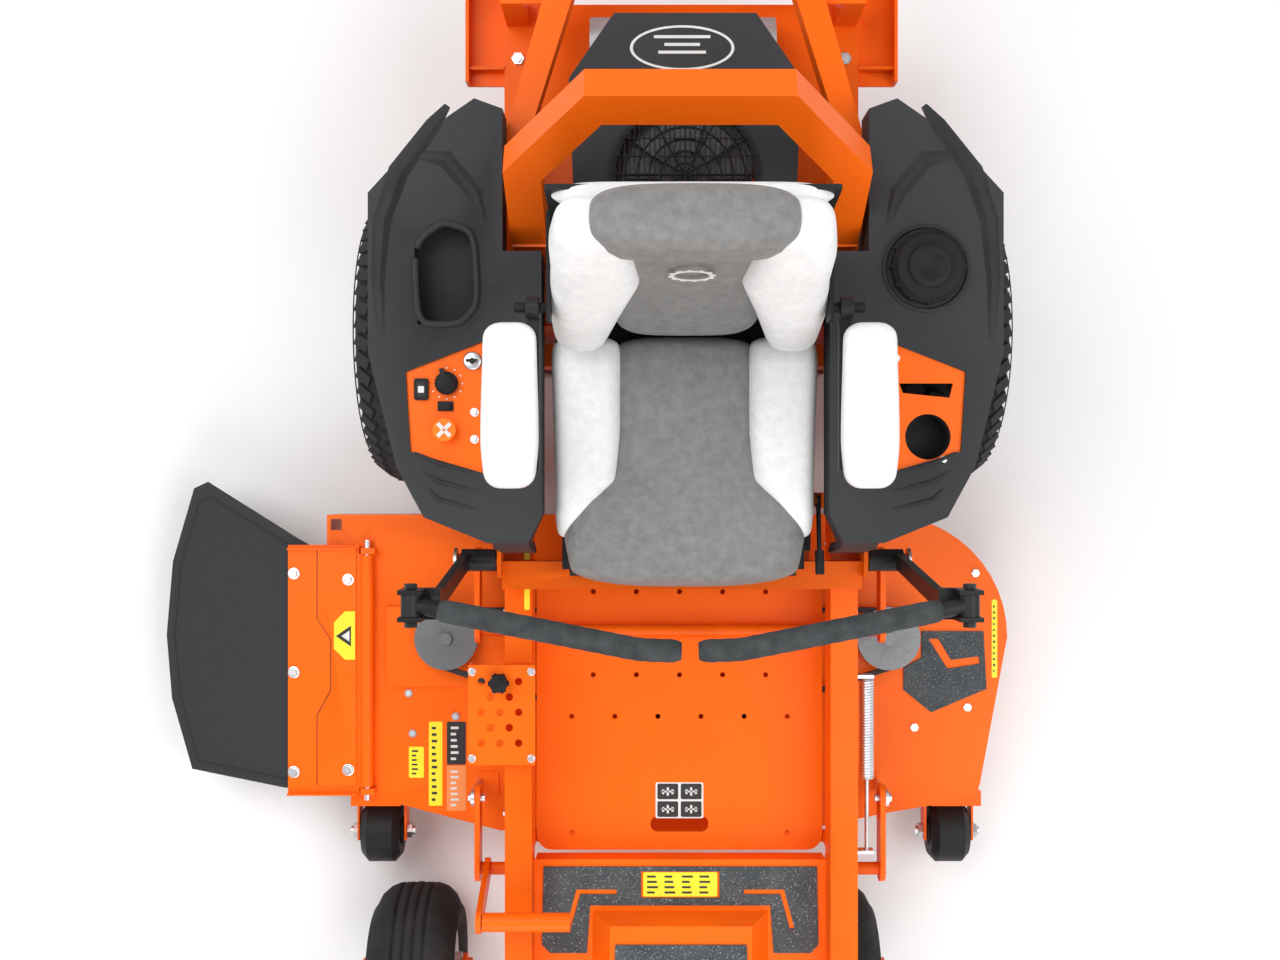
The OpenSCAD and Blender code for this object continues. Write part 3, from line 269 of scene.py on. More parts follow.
LABEL_ORANGE = printed("orange_label", (0.95, 0.3, 0.08))

FINISH = {
    "orange_paint": ORANGE, "grip_mat": MAT, "charcoal_plastic": CHARCOAL, "black_plastic": BLACK,
    "orange_plastic": ORANGE_PLASTIC, "cast_metal": CAST, "tyre_rubber": TYRE, "belt_rubber": BELT,
    "wheel_steel": RIM, "zinc": ZINC, "blade_steel": STEEL, "black_paint": BLACK_PAINT,
    "foam_grip": FOAM, "seat_vinyl_grey": GREY_VINYL, "seat_vinyl_white": WHITE_VINYL,
}
for part in frame["record"]["subparts"]:
    mesh = NODES[part["node"]].data
    mesh.materials.clear()
    mesh.materials.append(FINISH[part["material_slot"]])
NODES["chute_flap"].data.materials[0] = FLAP


# ---------------------------------------------------------------- mesh helpers
def piece(name, bm, material, body, smooth=True):
    """Makes a finished piece from a bmesh, which rides on a body."""
    bmesh.ops.recalc_face_normals(bm, faces=bm.faces)
    mesh = bpy.data.meshes.new(name)
    bm.to_mesh(mesh)
    bm.free()
    obj = bpy.data.objects.new(name, mesh)
    bpy.context.scene.collection.objects.link(obj)
    mesh.materials.append(material)
    if smooth:
        for face in mesh.polygons:
            face.use_smooth = True
    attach(obj, body)
    return obj


def soften(obj, width=0.001, segments=2, angle=35):
    """Rounds a piece's hard edges with a bevel."""
    bevel = obj.modifiers.new("edges", "BEVEL")
    bevel.width = width
    bevel.segments = segments
    bevel.limit_method = "ANGLE"
    bevel.angle_limit = math.radians(angle)
    bevel.harden_normals = False
    return obj


def add_box(bm, low, high, matrix=Matrix.Identity(4)):
    made = bmesh.ops.create_cube(bm, size=1.0)["verts"]
    mid = (Vector(low) + Vector(high)) / 2
    size = Vector(high) - Vector(low)
    for v in made:
        v.co = matrix @ (mid + Vector((v.co.x * size.x, v.co.y * size.y, v.co.z * size.z)))
    return made


def add_plate(bm, outline, z0, z1):
    """A flat plate between two heights, from an outline in x and y."""
    low = [bm.verts.new((p[0], p[1], z0)) for p in outline]
    high = [bm.verts.new((p[0], p[1], z1)) for p in outline]
    bm.faces.new(low[::-1])
    bm.faces.new(high)
    for i in range(len(outline)):
        j = (i + 1) % len(outline)
        bm.faces.new((low[i], low[j], high[j], high[i]))


def add_turned(bm, profile, centre, axis, steps=48):
    """A closed solid of revolution: profile points are (radius, distance along the axis)."""
    axis = Vector(axis).normalized()
    side = axis.orthogonal().normalized()
    up = axis.cross(side)
    rings = []
    for radius, along in profile:
        ring = []
        for i in range(steps):
            a = 2 * math.pi * i / steps
            ring.append(bm.verts.new(Vector(centre) + axis * along + (side * math.cos(a) + up * math.sin(a)) * radius))
        rings.append(ring)
    for a, b in zip(rings, rings[1:]):
        for i in range(steps):
            j = (i + 1) % steps
            bm.faces.new((a[i], a[j], b[j], b[i]))
    bm.faces.new(rings[0][::-1])
    bm.faces.new(rings[-1])


def add_tube(bm, path, radius, steps=12, closed=False):
    """A round tube along a path of points, with capped ends."""
    rings = []
    count = len(path)
    side = None
    for k, p in enumerate(path):
        before, after = path[max(k - 1, 0)], path[min(k + 1, count - 1)]
        run = (after - before).normalized()
        side = run.orthogonal().normalized() if side is None else (side - run * side.dot(run)).normalized()
        up = run.cross(side)
        r = radius(k) if callable(radius) else radius
        rings.append([bm.verts.new(p + (side * math.cos(2 * math.pi * i / steps) + up * math.sin(2 * math.pi * i / steps)) * r)
                      for i in range(steps)])
    for a, b in zip(rings, rings[1:]):
        for i in range(steps):
            j = (i + 1) % steps
            bm.faces.new((a[i], a[j], b[j], b[i]))
    bm.faces.new(rings[0][::-1])
    bm.faces.new(rings[-1])


def ring_point(angle, half_w, half_t, power):
    """A point on a rounded-box section: power 2 is an ellipse, higher is squarer."""
    c, s = math.cos(angle), math.sin(angle)
    e = 2.0 / power
    return (half_w * math.copysign(abs(c) ** e, c), half_t * math.copysign(abs(s) ** e, s))


def add_loft(bm, sections, power=3.0, steps=28):
    """A closed soft form through sections: each is (centre, half width, half thickness, across, out)."""
    rings = []
    for centre, half_w, half_t, across, out in sections:
        ring = []
        for i in range(steps):
            u, w = ring_point(2 * math.pi * i / steps, half_w, half_t, power)
            ring.append(bm.verts.new(centre + across * u + out * w))
        rings.append(ring)
    for a, b in zip(rings, rings[1:]):
        for i in range(steps):
            j = (i + 1) % steps
            bm.faces.new((a[i], a[j], b[j], b[i]))
    for ring, turn in ((rings[0], -1), (rings[-1], 1)):
        tip = bm.verts.new(sum((v.co for v in ring), Vector()) / steps)
        for i in range(steps):
            j = (i + 1) % steps
            bm.faces.new((ring[i], ring[j], tip)[::turn])


def lerp(table, t):
    """Reads a list of (t, value) smoothly."""
    if t <= table[0][0]:
        return table[0][1]
    for (t0, a), (t1, b) in zip(table, table[1:]):
        if t <= t1:
            f = (t - t0) / (t1 - t0)
            f = f * f * (3 - 2 * f)
            return a + (b - a) * f
    return table[-1][1]


def subdivide(obj, levels=1):
    sub = obj.modifiers.new("smooth", "SUBSURF")
    sub.levels = levels
    sub.render_levels = levels
    return obj


X, Y, Z = Vector((1, 0, 0)), Vector((0, 1, 0)), Vector((0, 0, 1))
BODY_OF_SIDE = {1: "left", -1: "right"}

# ---------------------------------------------------------------- wheels
def rear_tyre(side):
    """A turf tyre: rounded carcass and rows of separate tread blocks round it."""
    name = "rear_tyre_" + BODY_OF_SIDE[side]
    low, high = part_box(name)
    centre = (low + high) / 2
    radius = (high.z - low.z) / 2
    half = (high.x - low.x) / 2
    depth = 0.009
    bead = (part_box("rear_rim_left")[1].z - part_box("rear_rim_left")[0].z) / 2
    bm = bmesh.new()
    crown = radius - depth
    profile = [(bead, -half + 0.014), (bead + 0.012, -half + 0.006), (bead + 0.03, -half + 0.002),
               (bead + 0.055, -half), (crown - 0.052, -half + 0.004), (crown - 0.026, -half + 0.014),
               (crown - 0.008, -half + 0.034), (crown, -half + 0.062), (crown + 0.001, 0)]
    profile += [(r, -a) for r, a in profile[-2::-1]]
    rings = []
    steps = 120
    for r, a in profile:
        rings.append([bm.verts.new(centre + X * a + (Y * math.cos(t) + Z * math.sin(t)) * r)
                      for t in (2 * math.pi * i / steps for i in range(steps))])
    rings.append(rings[0])
    for a, b in zip(rings, rings[1:]):
        for i in range(steps):
            j = (i + 1) % steps
            bm.faces.new((a[i], a[j], b[j], b[i]))
    count = 52
    rows = [(-0.098, 0.034, 24, 0.020), (-0.058, 0.030, -18, 0.003), (-0.020, 0.028, 18, 0.0),
            (0.020, 0.028, -18, 0.0),
            (0.058, 0.030, 18, 0.003), (0.098, 0.034, -24, 0.020)]
    for k in range(count):
        for row, (across, width, skew, drop) in enumerate(rows):
            t = 2 * math.pi * (k + 0.5 * (row % 2)) / count
            radial = Y * math.cos(t) + Z * math.sin(t)
            along = -Y * math.sin(t) + Z * math.cos(t)
            tilt = Matrix.Rotation(math.radians(skew), 3, "Z")
            lean = Matrix.Rotation(math.radians(0 if abs(across) < 0.09 else math.copysign(38, across)), 3, "Y")
            base = Matrix((X, along, radial)).transposed() @ lean @ tilt
            frame_at = Matrix.Translation(centre + X * across + radial * (radius - depth / 2 - 0.0012 - drop)) @ base.to_4x4()
            add_box(bm, (-width / 2, -0.0105, -depth / 2 - 0.004), (width / 2, 0.0105, depth / 2), frame_at)
    for flank in (-1, 1):
        for r in (bead + 0.022, bead + 0.075):
            path = [centre + X * (flank * (half - 0.0005)) + (Y * math.cos(t) + Z * math.sin(t)) * r
                    for t in (2 * math.pi * i / 90 for i in range(91))]
            add_tube(bm, path, 0.0012, 6)
    obj = piece("turf_" + name, bm, TYRE, "wheel_" + BODY_OF_SIDE[side])
    for face in obj.data.polygons:
        face.use_smooth = len(face.vertices) == 4 and face.area < 0.0009
    obj.data.shade_smooth()
    split = obj.modifiers.new("split", "EDGE_SPLIT")
    split.split_angle = math.radians(38)
    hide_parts(name)


def caster_tyre(side):
    """A smooth ribbed caster tyre with shallow grooves round its tread."""
    name = "caster_tyre_" + BODY_OF_SIDE[side]
    low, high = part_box(name)
    centre = (low + high) / 2
    radius = (high.z - low.z) / 2
    half = (high.x - low.x) / 2
    bead = (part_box("caster_rim_left")[1].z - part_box("caster_rim_left")[0].z) / 2
    bm = bmesh.new()
    left = [(bead, -half + 0.016), (bead + 0.010, -half + 0.006), (bead + 0.024, -half + 0.001), (bead + 0.04, -half),
            (radius - 0.042, -half + 0.005), (radius - 0.022, -half + 0.015), (radius - 0.009, -half + 0.030),
            (radius - 0.003, -half + 0.045)]
    for groove in (-0.030, -0.010):
        edge = radius - 0.0012 - abs(groove) * 0.02
        left += [(edge, groove - 0.0032), (edge - 0.004, groove - 0.002), (edge - 0.004, groove + 0.002),
                (edge, groove + 0.0032)]
    profile = left + [(radius, 0)] + [(r, -a) for r, a in left[::-1]]
    rings = []
    steps = 96
    for r, a in profile:
        rings.append([bm.verts.new(centre + X * a + (Y * math.cos(t) + Z * math.sin(t)) * r)
                      for t in (2 * math.pi * i / steps for i in range(steps))])
    rings.append(rings[0])
    for a, b in zip(rings, rings[1:]):
        for i in range(steps):
            j = (i + 1) % steps
            bm.faces.new((a[i], a[j], b[j], b[i]))
    for flank in (-1, 1):
        path = [centre + X * (flank * (half - 0.0008)) + (Y * math.cos(t) + Z * math.sin(t)) * (bead + 0.03)
                for t in (2 * math.pi * i / 72 for i in range(73))]
        add_tube(bm, path, 0.001, 6)
    obj = piece("ribbed_" + name, bm, TYRE, "caster_" + BODY_OF_SIDE[side])
    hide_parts(name)


for side in (1, -1):
    rear_tyre(side)
    caster_tyre(side)


# ---------------------------------------------------------------- seat
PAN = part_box("seat_cushion")
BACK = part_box("seat_back")
FRONT = PAN[0].y
REAR = PAN[1].y
CUSHION_LOW = PAN[0].z
CUSHION_TOP = PAN[1].z


def along_seat(name, table, material, power=3.0, crown=0.0, count=26, body="seat",
        levels=1):
    """A pad lofted from the seat's front to its rear: rows are (t, x middle, half width, low, high)."""
    bm = bmesh.new()
    sections = []
    cols = [[(row[0], row[k]) for row in table] for k in range(1, 6)]
    for i in range(count + 1):
        t = i / count
        x, half, low, high, y = (lerp(col, t) for col in cols)
        ease = min(1.0, math.sqrt(max(0.0, 1 - (1 - min(t, 1 - t) / 0.06) ** 2)) if min(t, 1 - t) < 0.06 else 1.0)
        shrink = 0.55 + 0.45 * ease
        sections.append((Vector((HOME.x + x, y, (low + high) / 2)), half * shrink, (high - low) / 2 * shrink, X, Z))
    add_loft(bm, sections, power)
    obj = piece(name, bm, material, body)
    subdivide(obj, levels)
    return obj


def cushion():
    low = CUSHION_LOW + 0.004
    top = CUSHION_TOP
    panel = along_seat("seat_panel", [
        (0.0, 0, 0.150, low + 0.020, top - 0.030, FRONT + 0.004), (0.10, 0, 0.196, low + 0.004, top - 0.010,
                FRONT + 0.030),
        (0.24, 0, 0.208, low, top - 0.001, FRONT + 0.090), (0.36, 0, 0.190, low, top - 0.003, FRONT + 0.150),
        (0.46, 0, 0.130, low, top - 0.008, FRONT + 0.195), (0.60, 0, 0.121, low, top - 0.013, FRONT + 0.260),
        (0.85, 0, 0.124, low, top - 0.016, REAR - 0.050), (1.0, 0, 0.118, low, top - 0.020,
                REAR - 0.003)], GREY_VINYL, 4.0)
    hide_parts("seat_cushion")
    for side in (1, -1):
        along_seat("seat_bolster_" + BODY_OF_SIDE[side], [
            (0.0, side * 0.200, 0.018, low + 0.012, top - 0.034, FRONT + 0.088),
            (0.16, side * 0.192, 0.030, low + 0.006, top - 0.012, FRONT + 0.130),
            (0.34, side * 0.168, 0.054, low + 0.002, top + 0.004, FRONT + 0.185),
            (0.55, side * 0.166, 0.058, low, top + 0.010, FRONT + 0.270),
            (0.85, side * 0.168, 0.060, low, top + 0.012, REAR - 0.050),
            (1.0, side * 0.168, 0.058, low + 0.006, top + 0.002,
                    REAR - 0.004)], WHITE_VINYL, 2.8)


# the back leans: a point up the back is found from its height, with out pointing towards the sitter
LEAN = 0.163
BACK_LOW = BACK[0].z
BACK_TALL = BACK[1].z - BACK[0].z
BACK_UP = Vector((0, LEAN, 1)).normalized()
BACK_OUT = Vector((0, -1, LEAN)).normalized()
BACK_FOOT = at(0, -18, 0).y


def on_back(x, up, out):
    """x across, up the back from its foot and out towards the sitter, in metres."""
    return Vector((HOME.x + x, BACK_FOOT, BACK_LOW)) + BACK_UP * up + BACK_OUT * out


def up_back(name, table, material, power=3.0, count=26):
    """A pad lofted up the seat back: rows are (t, x, half width, depth behind, depth in front, up)."""
    bm = bmesh.new()
    sections = []
    cols = [[(row[0], row[k]) for row in table] for k in range(1, 6)]
    for i in range(count + 1):
        t = i / count
        x, half, behind, ahead, up = (lerp(col, t) for col in cols)
        near = min(t, 1 - t)
        ease = math.sqrt(max(0.0, 1 - (1 - near / 0.07) ** 2)) if near < 0.07 else 1.0
        shrink = 0.5 + 0.5 * ease
        sections.append((on_back(x, up, (ahead - behind) / 2), half * shrink, (ahead + behind) / 2 * shrink, X,
                BACK_OUT))
    add_loft(bm, sections, power)
    obj = piece(name, bm, material, "seat")
    subdivide(obj)
    return obj


def seat_back():
    tall = BACK_TALL * 0.985
    panel = up_back("back_panel", [
        (0.0, 0, 0.118, 0.088, 0.022, 0.004), (0.15, 0, 0.122, 0.088, 0.022, tall * 0.15), (0.40, 0, 0.118, 0.085,
                0.006, tall * 0.40),
        (0.60, 0, 0.112, 0.080, 0.0, tall * 0.60), (0.80, 0, 0.125, 0.076, -0.006, tall * 0.78), (1.0, 0, 0.130,
                0.070, -0.014, tall * 0.90)],
        GREY_VINYL, 4.0)
    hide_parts("seat_back")
    for side in (1, -1):
        up_back("back_bolster_" + BODY_OF_SIDE[side], [
            (0.0, side * 0.184, 0.032, 0.060, 0.024, 0.022), (0.16, side * 0.172, 0.048, 0.080, 0.056, tall * 0.12),
            (0.38, side * 0.160, 0.060, 0.084, 0.050, tall * 0.36), (0.58, side * 0.142, 0.068, 0.084, 0.034,
                    tall * 0.56),
            (0.78, side * 0.146, 0.062, 0.084, 0.020, tall * 0.76), (1.0, side * 0.144, 0.050, 0.072, 0.000,
                    tall * 0.955)],
            WHITE_VINYL, 2.8)
    up_back("head_pad", [
        (0.0, 0, 0.124, 0.056, 0.002, tall * 0.80), (0.2, 0, 0.146, 0.074, 0.010, tall * 0.83), (0.5, 0, 0.150,
                0.088, 0.014, tall * 0.89),
        (0.8, 0, 0.148, 0.086, 0.012, tall * 0.95), (1.0, 0, 0.138, 0.072, 0.000,
                tall)], GREY_VINYL, 3.4)


def back_edge():
    """The padded edge that wraps the top of the seat's rear shell."""
    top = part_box("seat_shell")[1]
    bm = bmesh.new()
    sections = []
    for i in range(29):
        f = i / 14 - 1
        end = math.sqrt(max(0.02, 1 - abs(f) ** 8))
        sections.append((Vector((HOME.x + f * 0.204, top.y - 0.013, top.z - 0.020)), 0.019 * end, 0.026 * end, Y, Z))
    add_loft(bm, sections, 2.6)
    obj = piece("back_edge", bm, WHITE_VINYL, "seat")
    subdivide(obj)


def armrests():
    for side in (1, -1):
        name = "armrest_" + BODY_OF_SIDE[side]
        low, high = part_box(name)
        inner = low.x if side > 0 else high.x
        outer = high.x if side > 0 else low.x
        mid = (low.x + high.x) / 2
        half = (high.x - low.x) / 2 - 0.0005
        base = high.z - 0.040
        bm = bmesh.new()
        sections = []
        for i in range(25):
            t = i / 24
            near = min(t, 1 - t)
            ease = math.sqrt(max(0.0, 1 - (1 - near / 0.1) ** 2)) if near < 0.1 else 1.0
            y = low.y + 0.002 + (0.253) * t
            taper = lerp([(0, 0.86), (0.3, 0.98), (1, 0.90)], t)
            sections.append((Vector((mid, y, (base + high.z) / 2 + 0.001)), half * taper * (0.6 + 0.4 * ease),
                             (high.z - base) / 2 * (0.6 + 0.4 * ease), X, Z))
        add_loft(bm, sections, 3.2)
        pad = piece("arm_pad_" + BODY_OF_SIDE[side], bm, WHITE_VINYL, "arm_" + BODY_OF_SIDE[side])
        subdivide(pad)
        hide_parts(name)
        bm = bmesh.new()
        hub = at(side * 241, -8, 848)
        add_turned(bm, [(0.0155, -0.011), (0.0165, -0.009), (0.0165, 0.009), (0.0155, 0.011)], hub, X, 32)
        add_box(bm, (hub.x - 0.010, low.y + 0.030, hub.z - 0.020), (hub.x + 0.010, hub.y, hub.z - 0.0085))
        bar = piece("arm_bracket_" + BODY_OF_SIDE[side], bm, BLACK_PAINT, "arm_" + BODY_OF_SIDE[side])
        soften(bar, 0.0015)
        bar.data.shade_flat()


cushion()
seat_back()
back_edge()
armrests()


# ---------------------------------------------------------------- lap bar grips
def foam_grips():
    for side in (1, -1):
        name = "grip_" + BODY_OF_SIDE[side]
        low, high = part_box(name)
        radius = (high.z - low.z) / 2
        z = (high.z + low.z) / 2
        outer = at(side * 381.7, -469.7, 0)
        knee = at(side * 76, -530, 0)
        tip = at(side * 13, -532, 0)
        path = []
        for a, b, n in ((outer, knee, 40), (knee, tip, 9)):
            for i in range(n + 1):
                p = a.lerp(b, i / n)
                path.append(Vector((p.x, p.y, z)))
        # the corner is eased by averaging neighbours a few times
        for _ in range(6):
            path = [path[0]] + [(path[i - 1] + path[i] * 2 + path[i + 1]) / 4 for i in range(1,
                    len(path) - 1)] + [path[-1]]
        last = len(path) - 1

        def swell(k):
            end = min(k, last - k)
            ripple = 0.00035 * math.sin(k * 1.9)
            return radius - (0.0045 if end == 0 else 0.001 if end == 1 else 0.0) + ripple - 0.0004
        bm = bmesh.new()
        add_tube(bm, path, swell, 28)
        obj = piece("foam_" + name, bm, FOAM, "bar_" + BODY_OF_SIDE[side])
        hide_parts(name)


foam_grips()


# ---------------------------------------------------------------- small parts and trim
def plate_piece(name, outline, z, thick, material, body, bevel=0.0006):
    """A thin trim plate: outline in millimetres, z of its underside in metres."""
    bm = bmesh.new()
    add_plate(bm, [(HOME.x + x / 1000, HOME.y + y / 1000) for x, y in outline], z, z + thick)
    obj = piece(name, bm, material, body, smooth=False)
    return soften(obj, bevel)


def rounded(x0, x1, y0, y1, r=3, n=4):
    """A rounded rectangle's outline in millimetres."""
    points = []
    for cx, cy, start in ((x1 - r, y1 - r, 0), (x0 + r, y1 - r, 90), (x0 + r, y0 + r, 180), (x1 - r, y0 + r, 270)):
        for i in range(n + 1):
            a = math.radians(start + 90 * i / n)
            points.append((cx + r * math.cos(a), cy + r * math.sin(a)))
    return points


DECK_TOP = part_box("grip_pad")[0].z
PAN_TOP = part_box("floor_pan")[1].z
MAT_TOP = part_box("footrest_mats")[0].z + 0.003
PANEL_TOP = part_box("side_panels")[1].z
FENDER_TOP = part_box("fender_right")[1].z
CHUTE_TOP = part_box("chute_bracket")[1].z - 0.010
RAIL_TOP = 0.421
FILM = 0.0004


def labels():
    """Plain printed films without lettering: blocks and bars stand for the print."""
    def film(name, box_mm, z, material, body):
        return plate_piece(name, rounded(*box_mm), z, FILM, material, body, 0.0001)

    def bars(name, box_mm, rows, z, material, body, columns=1, fill=0.62):
        x0, x1, y0, y1 = box_mm
        bm = bmesh.new()
        for c in range(columns):
            for k in range(rows):
                w = (x1 - x0) / columns
                h = (y1 - y0) / rows
                part = fill + 0.3 * ((k * 7 + c * 3) % 4) / 4 - 0.15
                left = x0 + c * w + w * 0.1
                low = y0 + k * h + h * 0.28
                a = at(left, low, 0)
                b = at(left + w * 0.8 * part, low + h * 0.4, 0)
                add_box(bm, (a.x, a.y, z), (b.x, b.y, z + FILM * 0.5))
        return piece(name, bm, material, body, smooth=False)

    film("label_foot", (-70, 70, -1060, -1014), MAT_TOP - 0.003 + 0.0001, YELLOW, "chassis")
    bars("label_foot_print", (-66, 66, -1057, -1017), 4, MAT_TOP - 0.003 + 0.0001 + FILM, LABEL_BLACK, "chassis",
            4, 0.7)
    film("label_deck_edge", (627, 638, -668, -512), DECK_TOP, YELLOW, "deck")
    bars("label_deck_edge_print", (629, 636, -660, -520), 12, DECK_TOP + FILM, LABEL_BLACK, "deck")
    film("label_deck_a", (-538, -508, -868, -806), DECK_TOP, YELLOW, "deck")
    bars("label_deck_a_print", (-534, -512, -864, -810), 6, DECK_TOP + FILM, LABEL_BLACK, "deck")
    film("label_deck_b", (-498, -471, -924, -756), DECK_TOP, YELLOW, "deck")
    bars("label_deck_b_print", (-494, -475, -918, -762), 12, DECK_TOP + FILM, LABEL_BLACK, "deck")
    film("label_deck_c", (-462, -424, -842, -756), DECK_TOP, LABEL_BLACK, "deck")
    bars("label_deck_c_print", (-457, -429, -836, -762), 6, DECK_TOP + FILM, LABEL_WHITE, "deck")
    film("label_deck_d", (-462, -424, -934, -844), DECK_TOP, LABEL_ORANGE, "deck")
    bars("label_deck_d_print", (-457, -429, -928, -850), 7, DECK_TOP + FILM, LABEL_WHITE, "deck")
    film("label_rail", (-289, -279, -512, -400), RAIL_TOP, YELLOW, "chassis")
    plate_piece("label_chute", [(-684, -556), (-684, -608), (-662, -630), (-642, -630), (-642, -534), (-662, -534)],
                CHUTE_TOP + 0.0012, FILM, YELLOW, "chute", 0.0001)
    plate_piece("label_chute_sign", [(-680, -583), (-650, -562), (-650, -604)], CHUTE_TOP + 0.0012 + FILM, FILM * 0.6,
                LABEL_BLACK, "chute", 0.0001)
    plate_piece("label_chute_eye", [(-669, -583), (-653, -572), (-653, -594)], CHUTE_TOP + 0.0012 + FILM * 1.6,
            FILM * 0.5,
                LABEL_WHITE, "chute", 0.0001)
    film("label_pan", (-46, 46, -924, -855), PAN_TOP, LABEL_WHITE, "floor")
    for c in (-1, 1):
        for r in (-1, 1):
            x, y = c * 22.5, -889.5 + r * 17
            film(f"label_pan_{c}_{r}".replace("-1", "0"), (x - 20, x + 20, y - 15, y + 15), PAN_TOP + FILM,
                    LABEL_BLACK, "floor")
            bm = bmesh.new()
            z = PAN_TOP + 2 * FILM
            for k in range(-1, 2):
                a, b = at(x + k * 9 - 2, y - 8 + 3 * abs(k), 0), at(x + k * 9 + 2, y + 8 - 4 * abs(k), 0)
                add_box(bm, (a.x, a.y, z), (b.x, b.y, z + FILM / 2))
            a, b = at(x - 12, y - 1.6, 0), at(x + 12, y + 1.6, 0)
            add_box(bm, (a.x, a.y, z), (b.x, b.y, z + FILM / 2))
            piece(f"label_pan_sign_{c}_{r}".replace("-1", "0"), bm, LABEL_WHITE, "floor",
                    smooth=False)


def lift_spring():
    """The zinc extension spring beside the trim-side rail, as a true coil."""
    x, z = 347, 385
    turns, wire, radius = 34, 0.0021, 0.0122
    start, end = -648, -826
    path = []
    for i in range(turns * 16 + 1):
        t = i / (turns * 16)
        a = 2 * math.pi * turns * t
        p = at(x, start + (end - start) * t, z)
        path.append(p + Vector((math.cos(a) * radius, 0, math.sin(a) * radius)))
    bm = bmesh.new()
    add_tube(bm, path, wire, 7)
    piece("spring_coil", bm, ZINC, "chassis")


def bolts(name, spots, body, radius=0.0075, height=0.006, material=None):
    """Hexagon heads on washers: each spot is a point and the way the head faces."""
    bm = bmesh.new()
    for point, face in spots:
        face = Vector(face).normalized()
        add_turned(bm, [(radius * 1.45, 0), (radius * 1.45, 0.0012), (radius * 1.3, 0.0016)], point, face, 20)
        side = face.orthogonal().normalized()
        up = face.cross(side)
        rings = []
        for r, h in ((radius, 0.0016), (radius, height * 0.85), (radius * 0.86, height)):
            rings.append([bm.verts.new(point + face * h + (side * math.cos(i * math.pi / 3) + up * math.sin(i * math.pi / 3)) * r)
                          for i in range(6)])
        for a, b in zip(rings, rings[1:]):
            for i in range(6):
                bm.faces.new((a[i], a[(i + 1) % 6], b[(i + 1) % 6], b[i]))
        bm.faces.new(rings[-1])
    return piece(name, bm, material or ZINC, body, smooth=False)


def add_bolts():
    bolts("bolts_chute", [(at(x, y, 0).xy.to_3d() + Z * CHUTE_TOP, Z) for x, y in
                          ((-764, -459), (-764, -655), (-764, -853), (-656, -471), (-656, -849))], "chute", 0.008)
    bolts("bolts_fender_panel", [(at(x, y, 0).xy.to_3d() + Z * PANEL_TOP, Z) for x, y in
                                 ((-352, -160), (-352, -205), (430, -240), (350, -70))], "chassis", 0.005)
    bolts("bolts_hoop", [(at(s * 265, 120, z), -Y) for s in (-1, 1) for z in (462, 520)], "chassis", 0.009)
    bolts("bolts_stop", [(at(x, y, 450), Z) for x, y in ((-382, -622), (-382, -780), (-274, -622), (-274, -780))],
            "chassis", 0.005)
    bolts("bolts_pan", [(at(x, -466, 303.2), Z) for x in (-190, 190)], "floor", 0.006)


def dashboard():
    """Faces of the instruments on the control panel."""
    z = PANEL_TOP
    plate_piece("meter_bezel", rounded(-452, -428, -140, -104, 4), z + 0.002, 0.0045, BLACK, "chassis",
            0.001)
    plate_piece("meter_glass", rounded(-447, -433, -134, -110, 2), z + 0.0064, 0.0006, CHARCOAL_SMOOTH, "chassis",
            0.0002)
    plate_piece("meter_digits", rounded(-445, -435, -128, -117, 1), z + 0.0070, 0.0003, LABEL_WHITE, "chassis",
            0.0001)
    plate_piece("switch_paddle", rounded(-409, -391, -156, -144, 2), z + 0.003, 0.006, BLACK, "chassis",
            0.0012)
    bm = bmesh.new()
    for k in range(9):
        a = math.radians(-150 + k * 30)
        c = at(-398 + 26 * math.cos(a), -112 + 26 * math.sin(a), 0)
        add_box(bm, (c.x - 0.0012, c.y - 0.0012, z), (c.x + 0.0012, c.y + 0.0012, z + 0.0004))
    piece("dial_marks", bm, LABEL_WHITE, "chassis", smooth=False)
    bm = bmesh.new()
    hub = at(-398, -112, 0)
    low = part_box("throttle_lever")[1].z
    add_turned(bm, [(0.0175, low - 0.012), (0.0185, low - 0.009), (0.0165, low - 0.002), (0.010, low),
            (0.004, low + 0.0005)],
               Vector((hub.x, hub.y, 0)), Z, 40)
    for k in range(20):
        a = 2 * math.pi * k / 20
        m = Matrix.Translation((hub.x + 0.0178 * math.cos(a), hub.y + 0.0178 * math.sin(a),
                0)) @ Matrix.Rotation(a, 4, "Z")
        add_box(bm, (-0.001, -0.0012, low - 0.011), (0.0014, 0.0012, low - 0.004), m)
    piece("throttle_cap", bm, BLACK, "throttle")
    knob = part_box("pto_knob")
    bm = bmesh.new()
    hub = at(-400, -190, 0)
    for k in range(4):
        a = math.pi / 4 + k * math.pi / 2
        m = Matrix.Translation((hub.x, hub.y, knob[1].z)) @ Matrix.Rotation(a, 4, "Z")
        add_box(bm, (0.002, -0.0035, -0.001), (0.015, 0.0035, 0.003), m)
    soften(piece("pto_petals", bm, LABEL_WHITE, "pto", smooth=False), 0.001)
    ring = at(-355, -75, 0)
    bm = bmesh.new()
    add_turned(bm, [(0.0115, z + 0.0025), (0.0155, z + 0.0025), (0.0155, z + 0.0045), (0.0125, z + 0.0065)],
            Vector((ring.x, ring.y, 0)), Z, 32)
    piece("key_ring", bm, ZINC, "chassis")


